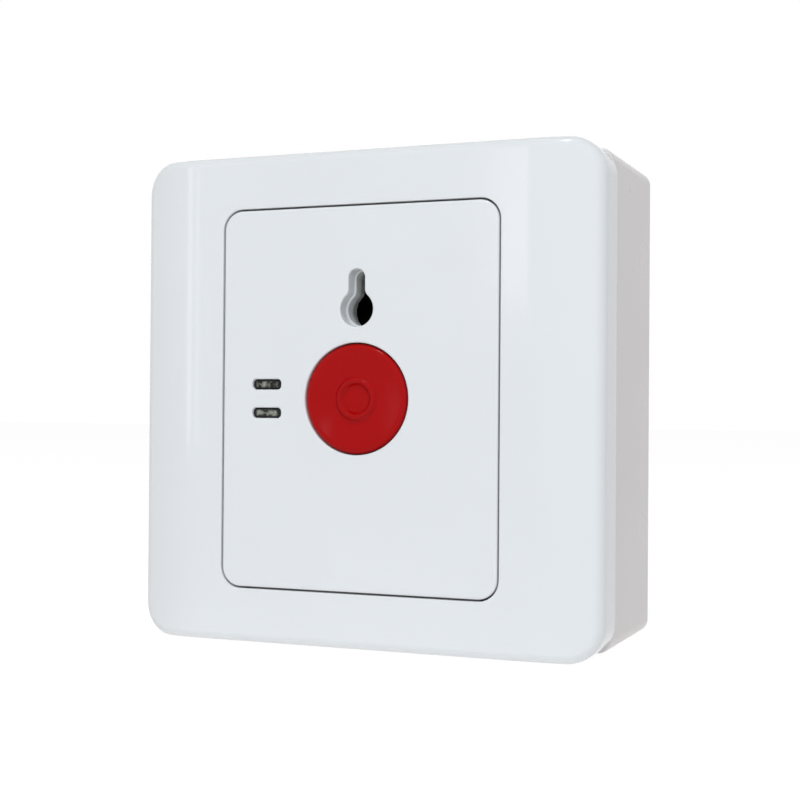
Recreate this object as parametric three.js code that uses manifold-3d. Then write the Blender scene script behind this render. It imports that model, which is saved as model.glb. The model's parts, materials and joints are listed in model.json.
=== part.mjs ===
// One-button alarm station on a surface box: a key-reset push button with two indicators.
// Millimetres, +Z up. The origin is the centre of the wall face and the front looks along -Y.
import * as THREE from 'three';
import { mergeVertices } from 'three/addons/utils/BufferGeometryUtils.js';
import Module from 'manifold-3d';

const wasm = await Module();
wasm.setup();

// General fits
const fitGap = 0.3; // between pieces that pass through or seat beside each other
const overCut = 1; // how far a cutting shape runs past the face that it opens

// Whole station. Depths below are measured back from the front of the cover plate.
const stationDepth = 38.5;
const screwPitch = 60.3; // between the two fixing screws of a standard wall box

// Face frame
const frameSide = 86;
const frameDepth = 10;
const frameThickness = 2;
const frameCorner = 6;
const frameEdge = 1.7; // rounding between its face and its sides
const stripWidth = 12.5; // left and right strips that curve back
const stripFall = 2.4; // how far they have curved back at the side
const rimThickness = 1;
const rimDepth = 3.4; // of the rim round the opening
const barbWidth = 6;
const barbReach = 0.85;
const barbHeight = 1.6;
const barbSpacing = 48;

// Cover plate
const plateWidth = 51.2;
const plateHeight = 66.3;
const plateCorner = 3.4;
const plateThickness = 2.2;
const plateEdge = 0.4;
const plateSkirt = 1.2;
const plateGap = 0.35; // seam between cover plate and face frame
const hookWidth = 7;
const hookThickness = 1.2;
const hookReach = 0.8;
const hookHeight = 1.1;
const hookSpacing = 32;
const hookInset = 4.5; // from the plate's top or bottom edge to the middle of the hook

// Keyhole
const keyRise = 15.4; // from the button's axis up to the key's axis
const keyRadius = 3.05;
const keySlotWidth = 3.05;
const keySlotReach = 6.9; // from the key's axis to the top of the slot
const keyFillet = 1.5;
const keyGuideWall = 1.4;
const keyGuideDepth = 2.8; // behind the plate

// Push button
const buttonRadius = 9.65;
const buttonEdge = 1.15;
const buttonDish = 0.5; // depth of the dished middle
const ringRadius = 3.1;
const ringWidth = 1.6;
const ringHeight = 0.75;
const buttonWall = 1.6;
const buttonCrown = 2.4; // thickness at the top
const buttonTravel = 3.5;
const collarWall = 1.2;
const collarDepth = 3.3; // of the guide behind the cover plate
const flangeReach = 1.5;
const flangeThickness = 1.4;
const stemRadius = 3.5;
const grooveDepth = 1.2;
const spigotRadius = 1.5;
const spigotLength = 3;

// Springs
const returnSpringRadius = 5.2;
const returnSpringWire = 0.8;
const returnSpringTurns = 6;
const latchSpringRadius = 1.7;
const latchSpringWire = 0.45;
const latchSpringTurns = 8;

// Mechanism housing
const housingWall = 1.5;
const housingCorner = 2;
const wellGap = 0.5; // round the button's flange
const springRoom = 2.3; // from the pressed flange to the floor of the well
const housingDrop = 20; // from the button's axis down to the outside of the housing
const housingRise = 9.6; // from the key's axis up to the outside of the housing
const tabWidth = 21;
const tabReach = 6;
const tabThickness = 1.8;
const tabScrewSpacing = 14;
const tabScrewReach = 3; // from the housing to the screws in its tabs

// Latch slide
const slideThickness = 1.6;
const slideHeight = 11;
const slideLeft = 9.2;
const slideWindowLeft = 6.8;
const slideWindowHeight = 8.2;
const slideTravel = 2.2;
const armWidth = 3.1;
const armRise = 5.1; // above the key's axis
const pegRadius = 0.7;
const pegLength = 2.4;
const springBay = 7; // between the arm and the wall, more than the spring's closed length
const railWidth = 1.2;
const railReach = 5; // either side of the button's axis
const railLip = 0.6;

// Contacts
const contactSpread = 8; // from the button's axis to each contact
const stripWidthInside = 4;
const stripThickness = 0.8;
const tipRadius = 1.3;
const tipHeight = 0.5;
const bridgeOverhang = 2;
const bridgeHeight = 5;
const contactSlack = 0.5; // between the latch slide and the front contacts
const clipRadius = 3;
const clipThickness = 0.6;
const riserReach = 9.2; // from the button's axis to where a terminal turns back
const terminalReach = 13; // from the button's axis to the terminal screws
const padWidth = 6;
const padMargin = 4;

// Rear cover
const rearCoverRoom = 0.6; // behind the rear contacts
const rearCoverThickness = 1.8;
const terminalBossRadius = 2.8;
const terminalBossDepth = 4.5;
const barrierThickness = 1.6;
const barrierHeight = 4.2;
const coverBossRadius = 2.6;
const upperCoverScrew = 5.6; // above the key's axis
const lowerCoverScrew = 17.2; // below the button's axis
const upperBossLength = 8;

// Mounting frame
const mountThickness = 2;
const footHeight = 2;
const footRadius = 6;
const mountRim = 1.4;
const slotLength = 9;
const mountBossRadius = 2.6;
const mountBossHeight = 2.8;

// Indicators, to the left of the button
const indicatorOffset = 17.1;
const indicatorPitch = 5;
const indicatorSlotWidth = 5.8;
const indicatorSlotHeight = 2.1;
const indicatorSlotCorner = 0.8;
const lensGap = 0.25;
const lensRecess = 0.5;
const lensFlange = 0.9; // reach of the flange round the lens
const lensFlangeThickness = 0.6;
const boardFront = 7.5;
const boardThickness = 1.2;
const boardWidth = 8.8;
const boardHeight = 26;
const boardOffset = 18.2;
const boardScrewSpacing = 21.6;
const boardBossRadius = 2.2;
const ledRadius = 1.5;
const ledFlange = 1.9;
const resistorRadius = 1.1;
const resistorLength = 6;
const resistorSpacing = 14.6;
const blockHeight = 10.4;
const blockWidth = 7.4;
const blockDepth = 8;
const blockPitch = 5;

// Back box
const boxSide = 84.6;
const boxCorner = 3;
const boxWall = 2.2;
const boxFloor = 2;
const postRadius = 4.6;
const postRib = 1.6;
const insertRadius = 2.9;
const insertLength = 8;
const knockOutRadius = 9;
const knockOutOffset = 16;
const knockOutSkin = 0.8;
const sideKnockOutWidth = 20;
const sideKnockOutDepth = 12;
const wallSlotWidth = 4.8;
const wallSlotLength = 12;
const wallSlotOffset = 31.5;

// Screws
const frameScrew = { head: 3.4, headHeight: 2.2, shank: 1.65, length: 16 };
const tappingScrew = { head: 2.6, headHeight: 1.7, shank: 1.3, length: 6 };
const terminalScrew = { head: 2.6, headHeight: 2, shank: 1.25, length: 4.6 };
const boardScrew = { head: 1.9, headHeight: 1.3, shank: 0.9, length: 4 };
const blockScrew = { head: 1.6, headHeight: 1, shank: 1.1, length: 3.4 };

// Depths worked out from the sizes above, front to back
const mountFront = frameDepth - footHeight - mountThickness;
const mountBack = mountFront + mountThickness;
const collarEnd = plateThickness + collarDepth;
const flangeFront = collarEnd + fitGap;
const flangeBack = flangeFront + flangeThickness;
const wellFloor = flangeBack + buttonTravel + springRoom;
const wellBack = wellFloor + housingWall;
const housingFront = Math.max(mountFront, collarEnd) + fitGap;
const slideFront = wellBack + fitGap;
const slideBack = slideFront + slideThickness;
const frontStrip = slideBack + contactSlack;
const bridgeFront = frontStrip + stripThickness + 2 * tipHeight + fitGap;
const bridgeBack = bridgeFront + stripThickness;
const rearStrip = bridgeBack + 2 * tipHeight + buttonTravel + fitGap;
const rearCoverFront = rearStrip + stripThickness + rearCoverRoom;
const rearCoverBack = rearCoverFront + rearCoverThickness;
const boardBack = boardFront + boardThickness;
const floorFront = stationDepth - boxFloor;

// Places across the front, worked out the same way
const flangeRadius = buttonRadius + flangeReach;
const wellRadius = flangeRadius + wellGap;
const housingLeft = -(wellRadius + housingWall);
const armLeft = keySlotReach + 0.4 - slideTravel;
const armRight = armLeft + armWidth;
const housingRight = armRight + slideTravel + springBay + housingWall;
const housingBottom = -housingDrop;
const housingTop = keyRise + housingRise;
const housingWidth = housingRight - housingLeft;
const housingHeight = housingTop - housingBottom;
const housingCentre = [(housingLeft + housingRight) / 2, (housingTop + housingBottom) / 2];
const cavityHalf = frameSide / 2 - frameThickness;
const mountHalf = cavityHalf - fitGap;
const hookHeights = plateHeight / 2 - hookInset;
const screwPlaces = [-screwPitch / 2, screwPitch / 2];

// Turns a closed geometry into a solid that can be joined and cut.
function solid(geometry) {
  const bare = geometry.index ? geometry.toNonIndexed() : geometry.clone();
  bare.deleteAttribute('normal');
  bare.deleteAttribute('uv');
  const merged = mergeVertices(bare, 1e-4);
  const corners = [];
  for (let i = 0; i < merged.index.count; i += 3) {
    const [a, b, c] = [merged.index.getX(i), merged.index.getX(i + 1), merged.index.getX(i + 2)];
    if (a !== b && b !== c && a !== c) corners.push(a, b, c);
  }
  const build = (triVerts) => new wasm.Manifold(new wasm.Mesh({
    numProp: 3,
    vertProperties: new Float32Array(merged.attributes.position.array),
    triVerts: new Uint32Array(triVerts),
  }));
  const made = build(corners);
  if (made.volume() > 0) return made;
  const turned = [];
  for (let i = 0; i < corners.length; i += 3) turned.push(corners[i], corners[i + 2], corners[i + 1]);
  return build(turned);
}

function join(first, ...others) {
  return others.reduce((sum, other) => sum.add(other), first);
}

function cut(body, ...tools) {
  return tools.reduce((left, tool) => left.subtract(tool), body);
}

// Shapes drawn as seen from the front: x to the right and z up.
function roundedRect(width, height, radius, [x, z] = [0, 0]) {
  const [a, b] = [width / 2, height / 2];
  const r = Math.min(radius, a - 0.01, b - 0.01);
  const shape = new THREE.Shape();
  shape.absarc(x + a - r, z + b - r, r, 0, Math.PI / 2);
  shape.absarc(x - a + r, z + b - r, r, Math.PI / 2, Math.PI);
  shape.absarc(x - a + r, z - b + r, r, Math.PI, Math.PI * 1.5);
  shape.absarc(x + a - r, z - b + r, r, Math.PI * 1.5, Math.PI * 2);
  shape.closePath();
  return shape;
}

function disc(radius, [x, z] = [0, 0]) {
  const shape = new THREE.Shape();
  shape.absarc(x, z, radius, 0, Math.PI * 2);
  return shape;
}

// The keyhole: a round bore with a slot above it and small fillets where they meet.
function keyholeShape(grow, [x, z]) {
  const bore = keyRadius + grow;
  const half = keySlotWidth / 2 + grow;
  const fillet = keyFillet - grow * 0.8;
  const top = keySlotReach + grow;
  const neck = Math.sqrt((bore + fillet) ** 2 - (half + fillet) ** 2);
  const lean = Math.atan2(neck, half + fillet);
  const shape = new THREE.Shape();
  shape.moveTo(x + half, z + neck);
  shape.absarc(x, z + top - half, half, 0, Math.PI);
  shape.absarc(x - half - fillet, z + neck, fillet, 0, -lean, true);
  shape.absarc(x, z, bore, Math.PI - lean, Math.PI * 2 + lean);
  shape.absarc(x + half + fillet, z + neck, fillet, Math.PI + lean, Math.PI, true);
  return shape;
}

const toBack = new THREE.Matrix4().makeBasis(
  new THREE.Vector3(1, 0, 0), new THREE.Vector3(0, 0, 1), new THREE.Vector3(0, -1, 0));
const toRight = new THREE.Matrix4().makeBasis(
  new THREE.Vector3(0, 1, 0), new THREE.Vector3(0, 0, 1), new THREE.Vector3(1, 0, 0));

// A front-view shape, solid from one depth to a deeper one.
function slab(shape, from, to, curveSegments = 3) {
  const geometry = new THREE.ExtrudeGeometry(shape, { depth: to - from, bevelEnabled: false, curveSegments });
  geometry.applyMatrix4(toBack).translate(0, to, 0);
  return solid(geometry);
}

// A section in x and depth, solid along z.
function prism(points, bottom, top) {
  const shape = new THREE.Shape(points.map(([x, y]) => new THREE.Vector2(x, y)));
  const geometry = new THREE.ExtrudeGeometry(shape, { depth: top - bottom, bevelEnabled: false });
  return solid(geometry.translate(0, 0, bottom));
}

// A section in depth and z, solid along x.
function sidePrism(points, left, right) {
  const shape = new THREE.Shape(points.map(([y, z]) => new THREE.Vector2(y, z)));
  const geometry = new THREE.ExtrudeGeometry(shape, { depth: right - left, bevelEnabled: false });
  return solid(geometry.applyMatrix4(toRight).translate(left, 0, 0));
}

function block([x1, x2], [y1, y2], [z1, z2]) {
  const geometry = new THREE.BoxGeometry(x2 - x1, y2 - y1, z2 - z1);
  return solid(geometry.translate((x1 + x2) / 2, (y1 + y2) / 2, (z1 + z2) / 2));
}

function rod(radius, from, to, place = [0, 0], curveSegments = 6) {
  return slab(disc(radius, place), from, to, curveSegments);
}

// A profile of [radius, depth] points turned about the depth axis.
function turned(points, segments) {
  const profile = points.map(([r, y]) => new THREE.Vector2(r, y));
  return solid(new THREE.LatheGeometry(profile, segments));
}

// How far the face frame's front has curved back at x.
function frameFall(x) {
  const past = Math.abs(x) - (frameSide / 2 - stripWidth);
  if (past <= 0) return 0;
  const radius = (stripWidth ** 2 + stripFall ** 2) / (2 * stripFall);
  return radius - Math.sqrt(radius ** 2 - past ** 2);
}

// A block with rounded corners and a rounded front edge. Its front falls away by fall(x),
// and breaks are the places along x where the straight edges need a vertex for that.
function easedBlock({ width, height, corner, edge, front, back, fall = () => 0, breaks = [], edgeSteps = 2 }) {
  const cornerSteps = 7;
  const topLine = (inset) => {
    const r = corner - inset;
    const [a, b] = [width / 2 - corner, height / 2 - corner];
    const line = [];
    for (let k = 0; k <= cornerSteps; k++) {
      const angle = Math.PI - (k / cornerSteps) * (Math.PI / 2);
      line.push([-a + r * Math.cos(angle), b + r * Math.sin(angle)]);
    }
    for (const x of breaks) line.push([x, b + r]);
    for (let k = 0; k <= cornerSteps; k++) {
      const angle = Math.PI / 2 - (k / cornerSteps) * (Math.PI / 2);
      line.push([a + r * Math.cos(angle), b + r * Math.sin(angle)]);
    }
    return line;
  };
  const rings = [{ line: topLine(0), depth: () => back }];
  for (let k = 0; k <= edgeSteps; k++) {
    const angle = (k / edgeSteps) * (Math.PI / 2);
    const y = front + edge * (1 - Math.sin(angle));
    rings.push({ line: topLine(edge * (1 - Math.cos(angle))), depth: (x) => y + fall(x) });
  }
  const points = rings.map(({ line, depth }) => [
    ...line.map(([x, z]) => [x, depth(x), z]),
    ...line.map(([x, z]) => [x, depth(x), -z]).reverse(),
  ]);
  const positions = [];
  const quad = (p, q, r, s) => positions.push(...p, ...q, ...r, ...p, ...r, ...s);
  const round = points[0].length;
  for (let ring = 0; ring + 1 < points.length; ring++) {
    for (let j = 0; j < round; j++) {
      const next = (j + 1) % round;
      quad(points[ring][j], points[ring][next], points[ring + 1][next], points[ring + 1][j]);
    }
  }
  const last = points[points.length - 1];
  for (let j = 0; j + 1 < round / 2; j++) {
    quad(last[j], last[j + 1], last[round - 2 - j], last[round - 1 - j]);
    quad(points[0][j + 1], points[0][j], points[0][round - 1 - j], points[0][round - 2 - j]);
  }
  const geometry = new THREE.BufferGeometry();
  geometry.setAttribute('position', new THREE.Float32BufferAttribute(positions, 3));
  return solid(geometry);
}

// A pan-head screw with a cross recess. It points back where way is 1 and forward where it is -1.
function screw({ head, headHeight, shank, length }, way) {
  const body = turned([
    [0, -headHeight * way],
    [head * 0.7, -headHeight * way],
    [head, -headHeight * 0.45 * way],
    [head, 0],
    [shank, 0],
    [shank, (length - shank * 0.5) * way],
    [shank * 0.6, length * way],
    [0, length * way],
  ], 12);
  const half = head * 0.12;
  const reach = head * 0.62;
  const depths = [-(headHeight + overCut) * way, -headHeight * 0.45 * way].sort((a, b) => a - b);
  return cut(body, block([-reach, reach], depths, [-half, half]), block([-half, half], depths, [-reach, reach]));
}

class Coil extends THREE.Curve {
  constructor(radius, wire, turns, length) {
    super();
    Object.assign(this, { radius, wire, turns, length });
  }

  // The first and last turns lie close, and the turns between them share the rest of the length.
  rise(turn) {
    const close = this.wire * 1.12;
    const open = (this.length - this.wire - 2 * close) / (this.turns - 2);
    const middle = THREE.MathUtils.clamp(turn - 1, 0, this.turns - 2);
    const ends = Math.min(turn, 1) + Math.max(turn - this.turns + 1, 0);
    return this.wire / 2 + ends * close + middle * open;
  }

  getPoint(t, target = new THREE.Vector3()) {
    const turn = t * this.turns;
    const angle = turn * Math.PI * 2;
    return target.set(this.radius * Math.cos(angle), this.rise(turn), this.radius * Math.sin(angle));
  }
}

// A compression spring that starts at depth 0 and has the given length.
function coilSpring(radius, wire, turns, length, stepsPerTurn) {
  const section = new THREE.Shape();
  section.absarc(0, 0, wire / 2, 0, Math.PI * 2);
  const geometry = new THREE.ExtrudeGeometry(section, {
    extrudePath: new Coil(radius, wire, turns, length),
    steps: turns * stepsPerTurn,
    curveSegments: 3,
    bevelEnabled: false,
  });
  return solid(geometry);
}

function faceFrame() {
  const breaks = [-1, 1].flatMap((side) => {
    const start = frameSide / 2 - stripWidth;
    const end = frameSide / 2 - frameCorner;
    const steps = [0, 0.4, 0.72].map((share) => side * (start + share * (end - start)));
    return side < 0 ? steps.reverse() : steps;
  });
  const outside = easedBlock({
    width: frameSide, height: frameSide, corner: frameCorner, edge: frameEdge,
    front: 0, back: frameDepth, fall: frameFall, breaks, edgeSteps: 4,
  });
  const inside = easedBlock({
    width: 2 * cavityHalf, height: 2 * cavityHalf, corner: frameCorner - frameThickness, edge: 0.6,
    front: frameThickness, back: frameDepth + overCut, fall: frameFall, breaks,
  });
  const [openWidth, openHeight] = [plateWidth + 2 * plateGap, plateHeight + 2 * plateGap];
  const openCorner = plateCorner + plateGap;
  const rim = slab(roundedRect(
    openWidth + 2 * rimThickness, openHeight + 2 * rimThickness, openCorner + rimThickness,
  ), frameThickness / 2, rimDepth);
  const opening = slab(roundedRect(openWidth, openHeight, openCorner), -overCut, frameDepth);
  let body = cut(join(cut(outside, inside), rim), opening);
  const catchFront = mountBack + fitGap;
  const catchTip = cavityHalf - barbReach;
  for (const side of [-1, 1]) {
    for (const row of [-1, 1]) {
      const middle = row * barbSpacing / 2;
      const barb = [
        [cavityHalf + 0.2, catchFront],
        [catchTip, catchFront],
        [catchTip, catchFront + barbHeight * 0.35],
        [cavityHalf - 0.1, catchFront + barbHeight],
        [cavityHalf + 0.2, catchFront + barbHeight],
      ].map(([x, y]) => [side * x, y]);
      body = join(body, prism(barb, middle - barbWidth / 2, middle + barbWidth / 2));
    }
  }
  return body;
}

// Calls place(side, row) for each of the four hooks that hold the cover plate.
function atHooks(place) {
  return [-1, 1].flatMap((side) => [-1, 1].map((row) => place(side * hookSpacing / 2, row)));
}

function coverPlate() {
  const shell = cut(
    easedBlock({
      width: plateWidth, height: plateHeight, corner: plateCorner, edge: plateEdge,
      front: 0, back: mountFront,
    }),
    slab(roundedRect(
      plateWidth - 2 * plateSkirt, plateHeight - 2 * plateSkirt, plateCorner - plateSkirt,
    ), plateThickness, mountFront + overCut),
  );
  const inner = plateThickness - 0.2;
  const guideEnd = plateThickness + keyGuideDepth;
  const holeRadius = buttonRadius + fitGap;
  let body = join(
    shell,
    rod(holeRadius + collarWall, inner, collarEnd, [0, 0], 16),
    slab(keyholeShape(keyGuideWall, [0, keyRise]), inner, guideEnd, 7),
  );
  for (const row of [-1, 1]) {
    body = join(body, rod(boardBossRadius, inner, boardFront, [-boardOffset, row * boardScrewSpacing / 2]));
  }
  for (const hook of atHooks((x, row) => plateHook(x, row, inner))) body = join(body, hook);
  body = cut(
    body,
    rod(holeRadius, -overCut, collarEnd + overCut, [0, 0], 16),
    slab(keyholeShape(0, [0, keyRise]), -overCut, guideEnd + overCut, 9),
  );
  for (const row of [-1, 1]) {
    const slot = [-indicatorOffset, row * indicatorPitch / 2];
    const shape = roundedRect(indicatorSlotWidth, indicatorSlotHeight, indicatorSlotCorner, slot);
    const screwHole = rod(
      boardScrew.shank + fitGap, boardBack - boardScrew.length - fitGap, boardFront + overCut,
      [-boardOffset, row * boardScrewSpacing / 2],
    );
    body = cut(body, slab(shape, -overCut, plateThickness + overCut, 4), screwHole);
  }
  return body;
}

// A snap hook that reaches through the mounting frame and catches behind it.
function plateHook(x, row, root) {
  const middle = hookHeights;
  const catchFront = mountBack + fitGap;
  const outer = middle + hookThickness / 2;
  const section = [
    [root, middle - hookThickness / 2],
    [catchFront + hookHeight, middle - hookThickness / 2],
    [catchFront + hookHeight, outer],
    [catchFront + hookHeight * 0.4, outer + hookReach],
    [catchFront, outer + hookReach],
    [catchFront, outer],
    [root, outer],
  ].map(([y, z]) => [y, row * z]);
  return sidePrism(section, x - hookWidth / 2, x + hookWidth / 2);
}

function indicatorLens() {
  const front = roundedRect(
    indicatorSlotWidth - 2 * lensGap, indicatorSlotHeight - 2 * lensGap, indicatorSlotCorner - lensGap);
  const flange = roundedRect(
    indicatorSlotWidth + 2 * lensFlange, indicatorSlotHeight + 2 * lensFlange, indicatorSlotCorner);
  const flangeFace = plateThickness + fitGap;
  return join(
    slab(front, lensRecess, flangeFace + lensFlangeThickness, 3),
    slab(flange, flangeFace, flangeFace + lensFlangeThickness, 2),
  );
}

// The red button: a dished cap with a raised ring, a flange that the collar holds back,
// and a stem with a latch groove and a spigot for the contact bridge.
function pushButton() {
  const ringInner = ringRadius - ringWidth / 2;
  const ringOuter = ringRadius + ringWidth / 2;
  const shoulder = buttonRadius - buttonEdge;
  const grooveFront = slideFront - buttonTravel - fitGap;
  const grooveBack = slideBack - buttonTravel + fitGap;
  const profile = [[0, buttonDish], [ringInner, buttonDish]];
  const steps = 6;
  for (let k = 1; k < steps; k++) {
    const share = k / steps;
    profile.push([ringInner + ringWidth * share, buttonDish - ringHeight * Math.sin(share * Math.PI)]);
  }
  profile.push([ringOuter, buttonDish]);
  profile.push([shoulder - 2.2, buttonDish * 0.72]);
  profile.push([shoulder - 0.8, buttonDish * 0.2]);
  profile.push([shoulder, 0]);
  for (let k = 1; k <= 4; k++) {
    const angle = (k / 4) * (Math.PI / 2);
    profile.push([shoulder + buttonEdge * Math.sin(angle), buttonEdge * (1 - Math.cos(angle))]);
  }
  profile.push([buttonRadius, flangeFront], [flangeRadius, flangeFront], [flangeRadius, flangeBack]);
  profile.push([buttonRadius - buttonWall, flangeBack], [buttonRadius - buttonWall, buttonCrown]);
  profile.push([stemRadius, buttonCrown], [stemRadius, grooveFront]);
  profile.push([stemRadius - grooveDepth, grooveFront], [stemRadius - grooveDepth, grooveBack]);
  profile.push([stemRadius, grooveBack], [stemRadius, bridgeFront], [spigotRadius, bridgeFront]);
  profile.push([spigotRadius, bridgeFront + spigotLength], [0, bridgeFront + spigotLength]);
  return turned(profile, 32);
}

function contactBridge() {
  const half = contactSpread + bridgeOverhang;
  let body = slab(roundedRect(2 * half, bridgeHeight, 1), bridgeFront, bridgeBack, 3);
  for (const side of [-1, 1]) {
    const tip = rod(tipRadius, bridgeFront - tipHeight, bridgeBack + tipHeight, [side * contactSpread, 0], 6);
    body = join(body, tip);
  }
  return cut(body, rod(spigotRadius + fitGap, bridgeFront - overCut, bridgeBack + overCut, [0, 0], 6));
}

// The push-on clip that keeps the bridge on the button's spigot.
function bridgeClip() {
  const front = bridgeBack + fitGap;
  const back = front + clipThickness;
  return cut(rod(clipRadius, front, back), rod(spigotRadius + fitGap, front - overCut, back + overCut));
}

// A flat slide with a window round the button's stem and an arm that the key's bit pushes.
function latchSlide() {
  const centreDepth = (slideFront + slideBack) / 2;
  const armTop = keyRise + armRise;
  const body = join(
    block([-slideLeft, armRight], [slideFront, slideBack], [-slideHeight / 2, slideHeight / 2]),
    block([armLeft, armRight], [slideFront, slideBack], [0, armTop]),
    sidePeg(armRight - 0.1, armRight + pegLength, centreDepth),
  );
  const windowRight = stemRadius + fitGap;
  const windowShape = roundedRect(
    slideWindowLeft + windowRight, slideWindowHeight, 1, [(windowRight - slideWindowLeft) / 2, 0]);
  return cut(body, slab(windowShape, slideFront - overCut, slideBack + overCut, 3));
}

// A small round peg along x at the height of the key's axis.
function sidePeg(left, right, depth) {
  const shape = new THREE.Shape();
  shape.absarc(depth, keyRise, pegRadius, 0, Math.PI * 2);
  const geometry = new THREE.ExtrudeGeometry(shape, { depth: right - left, bevelEnabled: false, curveSegments: 5 });
  return solid(geometry.applyMatrix4(toRight).translate(left, 0, 0));
}

function mechanismHousing() {
  const outline = (inset) => roundedRect(
    housingWidth - 2 * inset, housingHeight - 2 * inset, housingCorner - inset * 0.5, housingCentre);
  const wallFront = housingFront + housingWall;
  const slideDepth = (slideFront + slideBack) / 2;
  let body = cut(slab(outline(0), housingFront, rearCoverFront), slab(outline(housingWall), wallFront, rearCoverFront + overCut));
  body = join(body, rod(wellRadius + housingWall - 0.1, housingFront, wellBack, [0, 0], 16));
  for (const row of [-1, 1]) {
    const inner = slideHeight / 2 + fitGap;
    const rail = [row * (inner - railLip), row * (inner + railWidth)].sort((a, b) => a - b);
    const web = [row * inner, row * (inner + railWidth)].sort((a, b) => a - b);
    const span = [-railReach, Math.min(railReach, armLeft - fitGap)];
    const lipFront = slideBack + fitGap;
    body = join(body, block(span, [wellBack - 0.2, lipFront + 0.2], web));
    body = join(body, block(span, [lipFront, lipFront + housingWall / 2], rail));
  }
  for (const [place, length] of coverScrewPlaces()) {
    const front = rearCoverFront - length;
    const wall = place[1] > 0 ? housingTop - housingWall / 2 : housingBottom + housingWall / 2;
    const web = [place[1], wall].sort((a, b) => a - b);
    body = join(body, rod(coverBossRadius, front, rearCoverFront, place));
    body = join(body, block([-coverBossRadius, coverBossRadius], [front, rearCoverFront], web));
  }
  const tabFront = mountBack;
  const tabBack = mountBack + tabThickness;
  for (const [near, far] of [[housingTop - housingWall / 2, housingTop + tabReach],
    [housingBottom - tabReach, housingBottom + housingWall / 2]]) {
    body = join(body, block([-tabWidth / 2, tabWidth / 2], [tabFront, tabBack], [near, far]));
  }
  body = join(body, sidePeg(housingRight - housingWall - pegLength, housingRight - housingWall / 2, slideDepth));
  body = cut(
    body,
    rod(wellRadius, housingFront - overCut, wellFloor, [0, 0], 16),
    rod(stemRadius + fitGap, wellFloor - overCut, wellBack + overCut, [0, 0], 8),
    slab(keyholeShape(fitGap, [0, keyRise]), housingFront - overCut, wallFront + overCut, 7),
  );
  for (const [place, length] of coverScrewPlaces()) {
    const holeFront = rearCoverFront - Math.min(length - 1, tappingScrew.length);
    body = cut(body, rod(tappingScrew.shank + fitGap, holeFront, rearCoverFront + overCut, place));
  }
  for (const place of tabScrewPlaces()) {
    body = cut(body, rod(tappingScrew.shank + fitGap, tabFront - overCut, tabBack + overCut, place));
  }
  return body;
}

// Where the rear cover is screwed on, each with the length of its boss.
function coverScrewPlaces() {
  return [[[0, keyRise + upperCoverScrew], upperBossLength], [[0, -lowerCoverScrew], rearCoverFront - housingFront]];
}

function tabScrewPlaces() {
  return [housingTop + tabScrewReach, housingBottom - tabScrewReach].flatMap((z) => [
    [-tabScrewSpacing / 2, z], [tabScrewSpacing / 2, z],
  ]);
}

// Calls place(x, row) for the four terminals: row -1 is the pair in front of the bridge, 1 the pair behind.
function atTerminals(place) {
  return [-1, 1].flatMap((row) => [-1, 1].map((side) => place(side * contactSpread, row)));
}

function rearCover() {
  let body = slab(roundedRect(housingWidth, housingHeight, housingCorner, housingCentre), rearCoverFront, rearCoverBack);
  for (const boss of atTerminals((x, row) => rod(
    terminalBossRadius, rearCoverFront - terminalBossDepth, rearCoverBack - 0.2, [x, row * terminalReach]))) {
    body = join(body, boss);
  }
  for (const row of [-1, 1]) {
    const far = Math.min(terminalReach + padMargin, lowerCoverScrew - tappingScrew.head - fitGap);
    const ends = [row * (riserReach + fitGap), row * far].sort((a, b) => a - b);
    const half = barrierThickness / 2;
    body = join(body, block([-half, half], [rearCoverBack - 0.2, rearCoverBack + barrierHeight], ends));
  }
  const shank = terminalScrew.shank + fitGap;
  for (const hole of atTerminals((x, row) => rod(
    shank, rearCoverFront - terminalBossDepth + 1, rearCoverBack + overCut, [x, row * terminalReach]))) {
    body = cut(body, hole);
  }
  for (const slot of atTerminals((x, row) => {
    const half = stripWidthInside / 2 + fitGap;
    const ends = [row * (riserReach - stripThickness - fitGap), row * (riserReach + fitGap)].sort((a, b) => a - b);
    return block([x - half, x + half], [rearCoverFront - overCut, rearCoverBack + overCut], ends);
  })) {
    body = cut(body, slot);
  }
  for (const [place] of coverScrewPlaces()) {
    body = cut(body, rod(tappingScrew.shank + fitGap, rearCoverFront - overCut, rearCoverBack + overCut, place));
  }
  return body;
}

// One bent brass strip: contact leg, riser through the rear cover, and pad under its screw.
function terminal(x, row) {
  const leg = row < 0 ? frontStrip : rearStrip;
  const padBack = rearCoverBack + stripThickness;
  const half = stripWidthInside / 2;
  const span = (a, b) => [row * a, row * b].sort((p, q) => p - q);
  const tipDepths = row < 0
    ? [leg, leg + stripThickness + tipHeight]
    : [leg - tipHeight, leg + stripThickness];
  const body = join(
    block([x - half, x + half], [leg, leg + stripThickness], span(-bridgeHeight / 2, riserReach)),
    block([x - half, x + half], [leg, padBack], span(riserReach - stripThickness, riserReach)),
    block([x - padWidth / 2, x + padWidth / 2], [rearCoverBack, padBack],
      span(riserReach - stripThickness, terminalReach + padMargin)),
    rod(tipRadius, ...tipDepths, [x, 0], 6),
  );
  return cut(body, rod(terminalScrew.shank + fitGap, rearCoverBack - overCut, padBack + overCut, [x, row * terminalReach]));
}

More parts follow.
